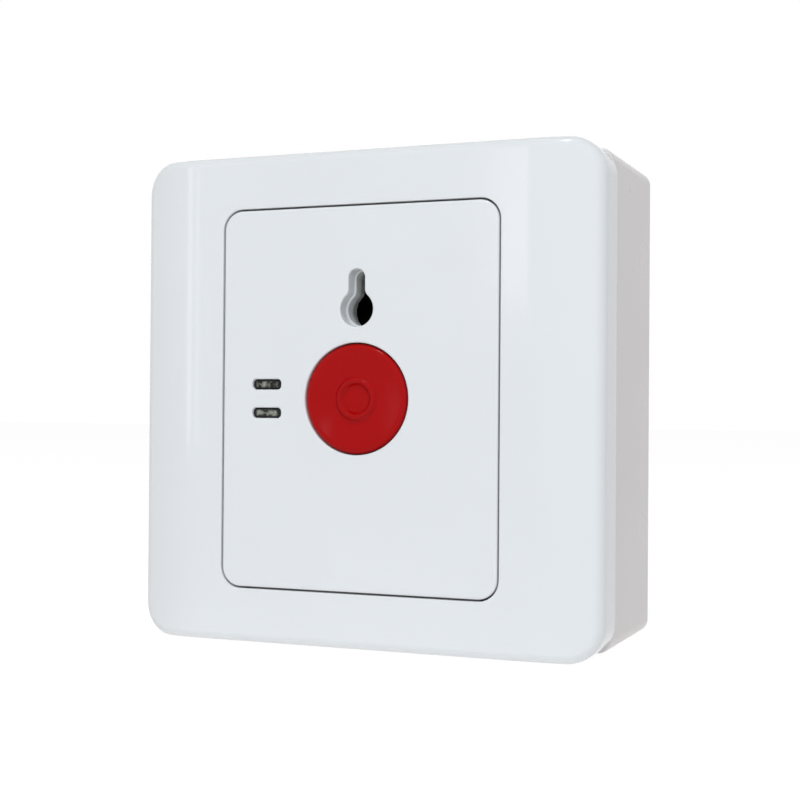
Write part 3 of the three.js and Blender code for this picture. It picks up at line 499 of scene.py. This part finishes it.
def surface(name, screen_colour, rough, grain, grain_height, cloud=0.03, metal=0.0, sheen=0.5):
    """A material with slow clouding of colour and roughness, and a fine grain in its height."""
    made = bpy.data.materials.get(name)
    if made:
        return made
    made = bpy.data.materials.new(name)
    made.use_nodes = True
    tree = made.node_tree
    shader = tree.nodes["Principled BSDF"]
    base = linear(screen_colour)
    clouds = place_group(tree, cloud_group(), 55)
    tone_mask = between(tree, clouds.outputs["Value"], 0, 1)
    colour = mixed(tree, tone_mask, shade(base, 1 - cloud), shade(base, 1 + cloud))
    tree.links.new(colour, shader.inputs["Base Color"])
    roughness = between(tree, clouds.outputs["Value"], rough * 0.88, rough * 1.12)
    tree.links.new(roughness, shader.inputs["Roughness"])
    shader.inputs["Metallic"].default_value = metal
    shader.inputs["IOR"].default_value = 1.5
    shader.inputs["Specular IOR Level"].default_value = sheen
    fine = place_group(tree, grain_group(), grain)
    bump = tree.nodes.new("ShaderNodeBump")
    bump.inputs["Distance"].default_value = grain_height
    bump.inputs["Strength"].default_value = 0.5
    tree.links.new(fine.outputs["Value"], bump.inputs["Height"])
    tree.links.new(bump.outputs["Normal"], shader.inputs["Normal"])
    return made


def white_front():
    return surface("gloss white front", colours().white_front, 0.1, 700, 0.003 * MM, 0.006)


# Painted shade: a darker, warmer copy of the front white, standing for the shade on the box's sides
def white_box_painted_shade():
    return surface("satin white box, painted shade", colours().white_box_painted_shade, 0.3, 1600, 0.012 * MM, 0.012)


def white_inner():
    return surface("matte white inside", colours().white_inner, 0.5, 2200, 0.02 * MM)


def black_inner():
    return surface("matte black inside", colours().black_inner, 0.48, 2200, 0.02 * MM, 0.08)


def red_button():
    return surface("gloss red button", colours().red_button, 0.12, 800, 0.004 * MM, 0.03, sheen=0.1)


def brass():
    return surface("stamped brass", colours().brass, 0.3, 3000, 0.01 * MM, 0.08, 1.0)


def steel():
    return surface("zinc-plated steel", colours().steel, 0.32, 4000, 0.01 * MM, 0.08, 1.0)


def spring_steel():
    return surface("drawn spring wire", colours().spring_steel, 0.26, 5000, 0.006 * MM, 0.06, 1.0)


def block_blue():
    return surface("satin blue block", colours().block_blue, 0.36, 2200, 0.015 * MM, 0.05)


def lamp_clear():
    """Clear resin with a faint clouding."""
    made = surface("clear lamp resin", (0.93, 0.95, 0.92), 0.06, 1200, 0.003 * MM, 0.02)
    shader = made.node_tree.nodes["Principled BSDF"]
    shader.inputs["Transmission Weight"].default_value = 0.85
    return made


def object_axis(tree, axis):
    """The X, Y or Z of the place on the piece, in metres."""
    place = tree.nodes.new("ShaderNodeTexCoord")
    apart = tree.nodes.new("ShaderNodeSeparateXYZ")
    tree.links.new(place.outputs["Object"], apart.inputs["Vector"])
    return apart.outputs[axis]


def near_to(tree, value, middle, full, none):
    """A mask that is 1 within a distance of a place and falls to 0 a little further off."""
    offset = tree.nodes.new("ShaderNodeMath")
    offset.operation = "SUBTRACT"
    offset.inputs[1].default_value = middle
    tree.links.new(value, offset.inputs[0])
    distance = tree.nodes.new("ShaderNodeMath")
    distance.operation = "ABSOLUTE"
    tree.links.new(offset.outputs[0], distance.inputs[0])
    mask = tree.nodes.new("ShaderNodeMapRange")
    mask.interpolation_type = "SMOOTHSTEP"
    mask.inputs["From Min"].default_value = full
    mask.inputs["From Max"].default_value = none
    mask.inputs["To Min"].default_value = 1
    mask.inputs["To Max"].default_value = 0
    tree.links.new(distance.outputs[0], mask.inputs["Value"])
    return mask.outputs["Result"]


def smoked_lens():
    """A dark smoky window. Its lighter mottled middle is painted: painted highlights, and the lamp behind
    as seen through the smoke.
    """
    made = bpy.data.materials.get("smoked window")
    if made:
        return made
    made = bpy.data.materials.new("smoked window")
    made.use_nodes = True
    tree = made.node_tree
    shader = tree.nodes["Principled BSDF"]
    # Painted highlights: fine noise turned into lighter olive-grey mottling
    painted_highlight_mottle = place_group(tree, grain_group(), 1300)
    ramp = tree.nodes.new("ShaderNodeValToRGB")
    ramp.color_ramp.elements[0].position = 0.44
    ramp.color_ramp.elements[0].color = linear((0.1, 0.11, 0.1))
    ramp.color_ramp.elements[1].position = 0.7
    ramp.color_ramp.elements[1].color = linear((0.62, 0.62, 0.56))
    tree.links.new(painted_highlight_mottle.outputs["Value"], ramp.inputs["Fac"])
    low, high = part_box("indicator_lens_upper")
    middle = (low + high) / 2
    # This mask keeps the painted highlights to the middle of the window; the border keeps the window's own
    # dark
    across = near_to(tree, object_axis(tree, "X"), middle.x, 1.7 * MM, 2.4 * MM)
    height = tree.nodes.new("ShaderNodeMath")
    height.operation = "ABSOLUTE"
    tree.links.new(object_axis(tree, "Z"), height.inputs[0])
    upright = near_to(tree, height.outputs[0], middle.z, 0.3 * MM, 0.72 * MM)
    inside = tree.nodes.new("ShaderNodeMath")
    inside.operation = "MULTIPLY"
    tree.links.new(across, inside.inputs[0])
    tree.links.new(upright, inside.inputs[1])
    colour = tree.nodes.new("ShaderNodeMix")
    colour.data_type = "RGBA"
    colour.inputs["A"].default_value = linear((0.05, 0.055, 0.06))
    tree.links.new(inside.outputs[0], colour.inputs["Factor"])
    tree.links.new(ramp.outputs["Color"], colour.inputs["B"])
    tree.links.new(colour.outputs["Result"], shader.inputs["Base Color"])
    shader.inputs["Roughness"].default_value = 0.12
    shader.inputs["IOR"].default_value = 1.49
    shader.inputs["Specular IOR Level"].default_value = 0.25
    return made


def board_green():
    """Green solder resist over a faint pattern of tracks."""
    made = surface("green board", colours().board_green, 0.35, 3000, 0.006 * MM, 0.05)
    tree = made.node_tree
    if tree.nodes.get("tracks"):
        return made
    tracks = tree.nodes.new("ShaderNodeTexBrick")
    tracks.name = "tracks"
    base = linear(colours().board_green)
    tracks.inputs["Color1"].default_value = base
    tracks.inputs["Color2"].default_value = shade(base, 1.12)
    tracks.inputs["Mortar"].default_value = shade(base, 1.7)
    tracks.inputs["Scale"].default_value = 260
    tracks.inputs["Mortar Size"].default_value = 0.05
    place = tree.nodes.new("ShaderNodeTexCoord")
    turn = tree.nodes.new("ShaderNodeMapping")
    turn.inputs["Rotation"].default_value = (math.pi / 2, 0, 0)
    tree.links.new(place.outputs["Object"], turn.inputs["Vector"])
    tree.links.new(turn.outputs["Vector"], tracks.inputs["Vector"])
    tree.links.new(tracks.outputs["Color"], tree.nodes["Principled BSDF"].inputs["Base Color"])
    return made


def resistor_tan():
    """A coated resistor body with four plain colour bands across it."""
    made = surface("banded resistor", colours().resistor_tan, 0.3, 2000, 0.006 * MM, 0.04)
    tree = made.node_tree
    if tree.nodes.get("bands"):
        return made
    low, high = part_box("resistor_upper")
    along = tree.nodes.new("ShaderNodeMapRange")
    along.inputs["From Min"].default_value = low.x
    along.inputs["From Max"].default_value = high.x
    tree.links.new(object_axis(tree, "X"), along.inputs["Value"])
    bands = tree.nodes.new("ShaderNodeValToRGB")
    bands.name = "bands"
    ramp = bands.color_ramp
    ramp.interpolation = "CONSTANT"
    body = linear(colours().resistor_tan)
    ramp.elements[0].color = body
    ramp.elements[1].position = 0.9
    ramp.elements[1].color = body
    inks = [(0.55, 0.09, 0.07), (0.36, 0.14, 0.45), (0.35, 0.18, 0.08), (0.72, 0.55, 0.2)]
    for k, ink in enumerate(inks):
        start = 0.2 + 0.15 * k
        ramp.elements.new(start).color = linear(ink)
        ramp.elements.new(start + 0.07).color = body
    tree.links.new(along.outputs["Result"], bands.inputs["Fac"])
    tree.links.new(bands.outputs["Color"], tree.nodes["Principled BSDF"].inputs["Base Color"])
    return made


class STATION_OT_face_frame(bpy.types.Operator):
    """Models the face frame: a shallow moulded shell with an opening and side strips that curve back"""

    bl_idname = "station.face_frame"
    bl_label = "Face frame"

    def execute(self, context):
        s = sizes()
        low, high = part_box("face_frame")
        piece = block("face_frame_moulded", low, high)
        round_corners(piece, s.frame_corner, 16)
        round_front(piece, s.frame_edge, 8, low.y)
        edit(piece)
        choose("FACE", lambda f: f.normal.y > 0.99)
        bpy.ops.mesh.delete(type="FACE")
        strip_start = high.x - s.strip_width
        for side in (-1, 1):
            for step in range(17):
                share = step / 16
                place = strip_start + share * (high.x - s.frame_corner * 0.5 - strip_start)
                bpy.ops.mesh.select_all(action="SELECT")
                bpy.ops.mesh.bisect(plane_co=(side * place, 0, 0), plane_no=(1, 0, 0))
        leave_edit()
        wall = piece.modifiers.new("wall", "SOLIDIFY")
        wall.thickness = s.frame_wall
        wall.offset = -1
        wall.use_even_offset = True
        apply(piece, wall)
        self.curve_back(piece, low.y + s.frame_edge + s.frame_wall)
        margin = Vector((s.seam, 0, s.seam))
        corner = s.plate_corner + s.seam
        wall_margin = margin + Vector((s.rim_wall, 0, s.rim_wall))
        join(piece, self.opening_block("rim", wall_margin, corner + s.rim_wall))
        cut(piece, self.opening_block("opening", margin, corner, through=True))
        edit(piece)
        choose("EDGE", lambda e: self.at_opening(e, low.y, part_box("cover_plate")[1].x + s.seam))
        bpy.ops.mesh.bevel(offset=s.opening_edge, segments=3, affect="EDGES", clamp_overlap=False)
        leave_edit()
        smooth(piece)
        put(piece, white_front(), "station", "face_frame_plastic", "face_frame")
        return {"FINISHED"}

    def curve_back(self, piece, behind):
        """Lets the front fall back towards the sides, by a vertex group and a Displace modifier."""
        group = piece.vertex_groups.new(name="fall")
        fall = sizes().strip_fall
        for vertex in piece.data.vertices:
            if vertex.co.y < behind + 0.01 * MM:
                group.add([vertex.index], frame_fall(vertex.co.x) / fall, "REPLACE")
        push = piece.modifiers.new("fall", "DISPLACE")
        push.vertex_group = group.name
        push.direction = "Y"
        push.mid_level = 0
        push.strength = fall
        apply(piece, push)
        piece.vertex_groups.clear()

    def opening_block(self, name, margin, corner, through=False):
        """A block as large as the cover plate with a margin, for the rim or for the opening in it."""
        s = sizes()
        plate_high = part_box("cover_plate")[1]
        half = Vector((plate_high.x, 0, plate_high.z)) + margin
        front = FRONT - MM if through else FRONT + s.frame_wall / 2
        back = FRONT + 8 * MM if through else FRONT + s.rim_depth
        tool = block(name, Vector((-half.x, front, -half.z)), Vector((half.x, back, half.z)))
        round_corners(tool, corner, 12)
        return tool

    def at_opening(self, edge, y, limit):
        """Whether an edge lies where the flat front meets the wall of the opening."""
        inside = all(abs(v.co.y - y) < 1e-6 and abs(v.co.x) < limit + 0.01 * MM for v in edge.verts)
        return inside and any(abs(f.normal.y) < 0.1 for f in edge.link_faces)


class STATION_OT_cover_plate(bpy.types.Operator):
    """Models the cover plate with its keyhole, button hole, indicator slots and snap hooks"""

    bl_idname = "station.cover_plate"
    bl_label = "Cover plate"

    def execute(self, context):
        s = sizes()
        low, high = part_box("cover_plate")
        half_x, half_z = high.x, high.z
        back = at(0, SKIRT_END, 0).y
        piece = block("cover_plate_moulded", low, Vector((half_x, back, half_z)))
        round_corners(piece, s.plate_corner, 12)
        round_front(piece, s.plate_edge, 4, low.y)
        wall = Vector((s.skirt_wall, 0, s.skirt_wall))
        cavity = block(
            "cavity", Vector((-half_x, low.y + s.plate_wall, -half_z)) + wall,
            Vector((half_x, back + MM, half_z)) - wall)
        round_corners(cavity, s.plate_corner - s.skirt_wall, 10)
        cut(piece, cavity)
        hole = (s.button_radius + s.button_gap) / MM
        boss_x, boss_z = BOSS_PLACE
        join(piece, rod("collar", hole + COLLAR_WALL, 0, 0, RIB_START, COLLAR_END, 96))
        join(piece, keyhole("key_guide", GUIDE_WALL, RIB_START, GUIDE_END))
        for row in (-1, 1):
            join(piece, rod("boss", BOSS_RADIUS, boss_x, row * boss_z, RIB_START, BOSS_END, 32))
            for x in (-HOOK_PLACE, HOOK_PLACE):
                join(piece, self.hook(x, row))
        cut(piece, rod("button_hole", hole, 0, 0, -1, COLLAR_END + 1, 128))
        ledge = s.key_ledge / MM
        cut(piece, keyhole("keyhole_front", 0, -1, ledge))
        cut(piece, keyhole("keyhole_back", -KEY_LIP, ledge - 0.5, GUIDE_END + 2))
        for row in (-1, 1):
            middle = at(LENS_PLACE[0], 1, row * LENS_PLACE[1])
            half = Vector((s.slot_width / 2, 2 * MM, s.slot_height / 2))
            slot = block("slot", middle - half, middle + half)
            round_corners(slot, s.slot_corner, 8)
            cut(piece, slot)
            cut(piece, rod("screw_hole", BOSS_BORE, boss_x, row * boss_z, BOSS_FLOOR, BOSS_END + 1, 24))
        edit(piece)
        choose("EDGE", self.at_hole)
        bpy.ops.mesh.bevel(offset=s.hole_edge, segments=3, affect="EDGES", clamp_overlap=False)
        leave_edit()
        smooth(piece)
        put(piece, white_front(), "station", "cover_plate_plastic", "cover_plate")
        return {"FINISHED"}

    def at_hole(self, edge):
        """Whether an edge lies where the flat front meets the wall of a hole."""
        return all(abs(v.co.y - FRONT) < 1e-6 for v in edge.verts) and any(
            abs(f.normal.y) < 0.1 for f in edge.link_faces)

    def hook(self, x, row):
        """A snap hook that reaches through the mounting frame and catches behind it."""
        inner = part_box("cover_plate")[1].z / MM - HOOK_INSET - HOOK_WALL / 2
        outer = inner + HOOK_WALL
        barb = outer + HOOK_BARB
        catch, widest = HOOK_CATCH
        outline = [
            (RIB_START, inner), (HOOK_END, inner), (HOOK_END, outer), (widest, barb), (catch, barb),
            (catch, outer), (RIB_START, outer),
        ]
        piece = first_point("hook", at(x - HOOK_WIDTH / 2, outline[0][0], row * outline[0][1]))
        for (y1, z1), (y2, z2) in zip(outline, outline[1:]):
            draw_line((0, (y2 - y1) * MM, row * (z2 - z1) * MM))
        bpy.ops.mesh.select_all(action="SELECT")
        bpy.ops.mesh.edge_face_add()
        bpy.ops.mesh.extrude_region_move(TRANSFORM_OT_translate={"value": (HOOK_WIDTH * MM, 0, 0)})
        bpy.ops.mesh.select_all(action="SELECT")
        bpy.ops.mesh.normals_make_consistent(inside=False)
        leave_edit()
        return piece


class STATION_OT_push_button(bpy.types.Operator):
    """Models the push button by turning its profile: dished cap, raised ring, flange and grooved stem"""

    bl_idname = "station.push_button"
    bl_label = "Push button"

    def execute(self, context):
        piece = turned("push_button_moulded", [(r, FRONT + d) for r, d in self.profile()], 128)
        smooth(piece, 40)
        put(piece, red_button(), "button", "button_red", "push_button")
        return {"FINISHED"}

    def profile(self):
        """Radius and depth from the middle of the face, over the rim, to the end of the stem."""
        s = sizes()
        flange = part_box("push_button")[1].x
        radius = s.button_radius
        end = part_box("push_button")[1].y - FRONT
        inner = s.ring_radius - s.ring_width / 2
        shoulder = radius - s.button_edge

        def dish(r):
            return s.button_dish * (1 - (r / shoulder) ** 2)

        points = [(inner * k / 4, dish(inner * k / 4)) for k in range(4)]
        for k in range(25):
            share = k / 24
            r = inner + s.ring_width * share
            points.append((r, dish(r) - s.ring_height * math.sin(math.pi * share) ** 1.15))
        outer = s.ring_radius + s.ring_width / 2
        for k in range(1, 13):
            r = outer + (shoulder - outer) * k / 12
            points.append((r, dish(r)))
        for k in range(1, 13):
            angle = k / 12 * math.pi / 2
            fall = s.button_edge * (1 - math.cos(angle))
            points.append((shoulder + s.button_edge * math.sin(angle), fall))
        depths = [d * MM for d in (5.8, 7.2, 2.4, 11.0, 13.2, 19.0)]
        flange_front, flange_back, crown, groove_front, groove_back, seat = depths
        wall, stem, groove, spigot = radius - 1.6 * MM, 3.5 * MM, 2.3 * MM, 1.5 * MM
        points += [
            (radius, flange_front), (flange, flange_front), (flange, flange_back), (wall, flange_back),
            (wall, crown), (stem, crown), (stem, groove_front), (groove, groove_front),
            (groove, groove_back), (stem, groove_back), (stem, seat), (spigot, seat),
            (spigot, end), (0, end),
        ]
        return points


class STATION_OT_indicator_lenses(bpy.types.Operator):
    """Models the two smoked windows, each with a flange behind the cover plate"""

    bl_idname = "station.indicator_lenses"
    bl_label = "Indicator lenses"

    def execute(self, context):
        s = sizes()
        for word in ("upper", "lower"):
            node = f"indicator_lens_{word}"
            low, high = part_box(node)
            flange_front = at(0, LENS_FLANGE, 0).y
            flange = block(f"{node}_moulded", Vector((low.x, flange_front, low.z)), high)
            round_corners(flange, 0.8 * MM, 6)
            middle = (low + high) / 2
            half_x = s.slot_width / 2 - s.lens_gap
            half_z = s.slot_height / 2 - s.lens_gap
            front_low = Vector((middle.x - half_x, low.y, middle.z - half_z))
            front_high = Vector((middle.x + half_x, high.y - 0.1 * MM, middle.z + half_z))
            front = block("front", front_low, front_high)
            round_corners(front, s.slot_corner - s.lens_gap, 8)
            round_front(front, s.lens_edge, 3, low.y)
            join(flange, front)
            smooth(flange)
            put(flange, smoked_lens(), "station", "smoked_lens", node)
        return {"FINISHED"}


class STATION_OT_back_box(bpy.types.Operator):
    """Models the surface box: rounded walls, two screw posts, knock-outs and wall slots"""

    bl_idname = "station.back_box"
    bl_label = "Back box"

    def execute(self, context):
        s = sizes()
        low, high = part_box("back_box")
        piece = block("back_box_moulded", low, high)
        round_corners(piece, s.box_corner, 14)
        round_front(piece, s.box_front_edge, 3, low.y)
        round_front(piece, s.box_back_edge, 4, high.y)
        wall = Vector((s.box_wall, 0, s.box_wall))
        inner_low = Vector((low.x, low.y - MM, low.z)) + wall
        inner_high = Vector((high.x, high.y - s.box_floor, high.z)) - wall
        cavity = block("cavity", inner_low, inner_high)
        round_corners(cavity, s.box_corner - s.box_wall, 6)
        cut(piece, cavity)
        inside = inner_high.x / MM
        outside = high.x / MM
        wall_face = (high.y - FRONT) / MM
        for x in (-POST_PLACE, POST_PLACE):
            post = rod("post", POST_RADIUS, x, 0, POST_FRONT, POST_FOOT, 40)
            ends = sorted([x, math.copysign((inside + outside) / 2, x)])
            rib = block("rib", at(ends[0], POST_RIB_FRONT, -POST_RIB), at(ends[1], POST_FOOT, POST_RIB))
            join(piece, post, rib)
            for radius, start, end, sides in POST_BORES:
                cut(piece, rod("bore", radius, x, 0, start, end, sides))
        for row in (-1, 1):
            skin = wall_face - KNOCK_OUT_SKIN
            cut(piece, rod("knock_out", KNOCK_OUT_RADIUS, 0, row * KNOCK_OUT_PLACE, skin - 2.2, skin, 64))
            half, start, end = SIDE_KNOCK_OUT
            pocket = sorted([row * (inside - 1), row * (outside - KNOCK_OUT_SKIN)])
            cut(piece, block("side_knock_out", at(-half, start, pocket[0]), at(half, end, pocket[1])))
            half_width, half_height = WALL_SLOT
            slot_low = at(-half_width, wall_face - 3.5, row * WALL_SLOT_PLACE - half_height)
            slot_high = at(half_width, wall_face + 1.5, row * WALL_SLOT_PLACE + half_height)
            slot = block("wall_slot", slot_low, slot_high)
            round_corners(slot, half_height * MM - 0.01 * MM, 12)
            cut(piece, slot)
        smooth(piece)
        put(piece, white_box_painted_shade(), "station", "back_box_plastic", "back_box")
        return {"FINISHED"}


class STATION_OT_springs(bpy.types.Operator):
    """Winds the two springs as real wire"""

    bl_idname = "station.springs"
    bl_label = "Springs"

    def execute(self, context):
        self.wind("return_spring", 1, 5.2 * MM, 0.8 * MM, 6, "button_press", 3.5 * MM)
        self.wind("latch_spring", 0, 1.7 * MM, 0.45 * MM, 8, "latch_release", 2.2 * MM)
        return {"FINISHED"}

    def wind(self, node, axis, radius, wire, turns, joint, travel):
        """A coil along axis 0 or 1, with closed ends. The joint and travel arguments are not used."""
        low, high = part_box(node)
        middle = (low + high) / 2
        whole = high[axis] - low[axis]
        close = wire * 1.12
        curve = bpy.data.curves.new(f"{node}_wire", "CURVE")
        curve.dimensions = "3D"
        curve.bevel_depth = wire / 2
        curve.bevel_resolution = 3
        curve.use_fill_caps = True
        steps = turns * 32
        line = curve.splines.new("POLY")
        line.points.add(steps)
        for k in range(steps + 1):
            turn = k / steps * turns
            ends = min(turn, 1) + max(turn - turns + 1, 0)
            between_ends = min(max(turn - 1, 0), turns - 2)
            rise = wire / 2 + ends * close + between_ends * (whole - wire - 2 * close) / (turns - 2)
            angle = 2 * math.pi * turn
            across, up = radius * math.cos(angle), radius * math.sin(angle)
            if axis == 1:
                point = (middle.x + across, low.y + rise, middle.z + up)
            else:
                point = (low.x + rise, middle.y - across, middle.z + up)
            line.points[k].co = (*point, 1)
        coil = bpy.data.objects.new(f"{node}_wire", curve)
        bpy.context.collection.objects.link(coil)
        pick(coil)
        bpy.ops.object.convert(target="MESH")
        coil = bpy.context.object
        bpy.ops.object.shade_smooth()
        put(coil, spring_steel(), "station", "spring_steel", node)
        anchor = list(middle)
        anchor[axis] = high[axis]
        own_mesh(coil)


class STATION_OT_inner_parts(bpy.types.Operator):
    """Gives every node that stays its finish, with its facets joined and its creases kept sharp"""

    bl_idname = "station.inner_parts"
    bl_label = "Inner parts"

    def execute(self, context):
        finishes = {
            "inner_white": white_inner, "inner_black": black_inner, "contact_brass": brass,
            "spring_steel": spring_steel, "screw_steel": steel, "lamp_clear": lamp_clear,
            "board_green": board_green, "block_blue": block_blue, "resistor_tan": resistor_tan,
        }
        for row in frame["record"]["subparts"]:
            node = frame["nodes"][row["node"]]
            if node.hide_render:
                continue
            node.material_slots[0].material = finishes[row["material_slot"]]()
            node.modifiers.new("joined", "WELD").merge_threshold = 0.001 * MM
            node.modifiers.new("creases", "EDGE_SPLIT").split_angle = math.radians(35)
        return {"FINISHED"}


class STATION_OT_stage(bpy.types.Operator):
    """Sets the floor, the light and the camera"""

    bl_idname = "station.stage"
    bl_label = "Stage"

    def execute(self, context):
        self.floor()
        self.world()
        level = context.scene.station_stage.key_level
        plain = (1.0, 1.0, 1.0)
        cool = (0.79, 0.91, 1.0)
        self.lamp("front light", (0.55, -1.4, 0.65), 2.0, 2.0, level, cool, mirrored=False)
        self.lamp("ceiling light", (0.06, -0.5, 0.95), 0.07, 0.07, 170, plain)
        self.lamp("window", (-0.432, -1.5, 0.24), 0.04, 0.22, 3.2, (1.0, 0.93, 0.97))
        self.lamp("left blind", (-0.985, -1.26, 0.2), 0.09, 1.2, 1.9, plain)
        self.lamp("near left blind", (-0.86, -1.35, 0.2), 0.05, 1.2, 1.6, plain)
        self.camera()
        return {"FINISHED"}

    def floor(self):
        clear_selection()
        bpy.ops.mesh.primitive_plane_add(size=8, location=(0, 0, cad_low.z - 0.2 * MM))
        floor = bpy.context.object
        floor.name = "floor"
        made = bpy.data.materials.new("pale floor")
        made.use_nodes = True
        tree = made.node_tree
        tree.nodes.clear()
        output = tree.nodes.new("ShaderNodeOutputMaterial")
        plain = tree.nodes.new("ShaderNodeBsdfDiffuse")
        plain.inputs["Color"].default_value = (0.8, 0.8, 0.8, 1)
        faint = tree.nodes.new("ShaderNodeBsdfDiffuse")
        faint.inputs["Color"].default_value = (0.14, 0.14, 0.14, 1)
        glow = tree.nodes.new("ShaderNodeEmission")
        glow.inputs["Strength"].default_value = 0.945
        shown = tree.nodes.new("ShaderNodeAddShader")
        tree.links.new(faint.outputs[0], shown.inputs[0])
        tree.links.new(glow.outputs[0], shown.inputs[1])
        bounce = tree.nodes.new("ShaderNodeEmission")
        bounce.inputs["Strength"].default_value = 0.22
        lit = tree.nodes.new("ShaderNodeAddShader")
        tree.links.new(plain.outputs[0], lit.inputs[0])
        tree.links.new(bounce.outputs[0], lit.inputs[1])
        mix = tree.nodes.new("ShaderNodeMixShader")
        tree.links.new(self.seen(tree), mix.inputs["Fac"])
        tree.links.new(lit.outputs[0], mix.inputs[1])
        tree.links.new(shown.outputs[0], mix.inputs[2])
        tree.links.new(mix.outputs[0], output.inputs["Surface"])
        floor.data.materials.append(made)

    def seen(self, tree):
        """1 for camera, glossy and transmission rays, which see the white background."""
        path = tree.nodes.new("ShaderNodeLightPath")
        total = path.outputs["Is Camera Ray"]
        for word in ("Is Glossy Ray", "Is Transmission Ray"):
            add = tree.nodes.new("ShaderNodeMath")
            add.operation = "MAXIMUM"
            tree.links.new(total, add.inputs[0])
            tree.links.new(path.outputs[word], add.inputs[1])
            total = add.outputs[0]
        return total

    def world(self):
        world = bpy.data.worlds.new("studio")
        bpy.context.scene.world = world
        world.use_nodes = True
        tree = world.node_tree
        tree.nodes.clear()
        output = tree.nodes.new("ShaderNodeOutputWorld")
        light = tree.nodes.new("ShaderNodeBackground")
        light.inputs["Color"].default_value = (1, 0.967, 0.957, 1)
        light.inputs["Strength"].default_value = bpy.context.scene.station_stage.world_level
        white = tree.nodes.new("ShaderNodeBackground")
        white.inputs["Strength"].default_value = 1
        white.inputs["Color"].default_value = (1, 1, 1, 1)
        mix = tree.nodes.new("ShaderNodeMixShader")
        tree.links.new(self.seen(tree), mix.inputs["Fac"])
        tree.links.new(light.outputs[0], mix.inputs[1])
        tree.links.new(white.outputs[0], mix.inputs[2])
        tree.links.new(mix.outputs[0], output.inputs["Surface"])

    def lamp(self, name, place, width, height, radiance, colour, mirrored=True):
        """A rectangular light of a given brightness that faces the station."""
        data = bpy.data.lights.new(name, "AREA")
        data.shape = "RECTANGLE"
        data.size, data.size_y = width, height
        data.energy = radiance * math.pi * width * height
        data.color = colour
        lamp = bpy.data.objects.new(name, data)
        bpy.context.collection.objects.link(lamp)
        lamp.visible_glossy = mirrored
        lamp.location = place
        towards = Vector((0, FRONT / 2, 0)) - Vector(place)
        lamp.rotation_euler = towards.to_track_quat("-Z", "Y").to_euler()

    def camera(self):
        stage = bpy.context.scene.station_stage
        yaw, pitch, roll = stage.camera_yaw, stage.camera_pitch, stage.camera_roll
        ahead = Vector((-math.sin(yaw), math.cos(yaw), 0)) * math.cos(pitch)
        ahead.z = math.sin(pitch)
        level = Vector((math.cos(yaw), math.sin(yaw), 0))
        upright = level.cross(ahead)
        right = math.cos(roll) * level + math.sin(roll) * upright
        up = -math.sin(roll) * level + math.cos(roll) * upright
        data = bpy.data.cameras.new("camera")
        data.sensor_width = 36
        data.lens = stage.lens
        data.clip_start, data.clip_end = 0.01, 50
        camera = bpy.data.objects.new("camera", data)
        bpy.context.collection.objects.link(camera)
        turn = Matrix((right, up, -ahead)).transposed()
        camera.matrix_world = Matrix.Translation(stage.camera_place) @ turn.to_4x4()
        bpy.context.scene.camera = camera
        bpy.context.scene.view_settings.view_transform = "Standard"


OPERATORS = (
    STATION_OT_face_frame,
    STATION_OT_cover_plate,
    STATION_OT_push_button,
    STATION_OT_indicator_lenses,
    STATION_OT_back_box,
    STATION_OT_springs,
    STATION_OT_inner_parts,
    STATION_OT_stage,
)


class STATION_PT_panel(bpy.types.Panel):
    """Lists the steps that build the alarm station"""

    bl_idname = "STATION_PT_panel"
    bl_label = "Alarm station"
    bl_space_type = "VIEW_3D"
    bl_region_type = "UI"
    bl_category = "Alarm station"

    def draw(self, context):
        for operator in OPERATORS:
            self.layout.operator(operator.bl_idname)


CLASSES = (StationSizes, StationColours, StationStage, *OPERATORS, STATION_PT_panel)


def register():
    for item in CLASSES:
        bpy.utils.register_class(item)
    bpy.types.Scene.station_sizes = PointerProperty(type=StationSizes)
    bpy.types.Scene.station_colours = PointerProperty(type=StationColours)
    bpy.types.Scene.station_stage = PointerProperty(type=StationStage)


def unregister():
    for name in ("station_sizes", "station_colours", "station_stage"):
        delattr(bpy.types.Scene, name)
    for item in reversed(CLASSES):
        bpy.utils.unregister_class(item)


def main():
    register()
    bpy.ops.station.face_frame()
    bpy.ops.station.cover_plate()
    bpy.ops.station.push_button()
    bpy.ops.station.indicator_lenses()
    bpy.ops.station.back_box()
    bpy.ops.station.springs()
    bpy.ops.station.inner_parts()
    bpy.ops.station.stage()


if __name__ == "__main__":
    main()
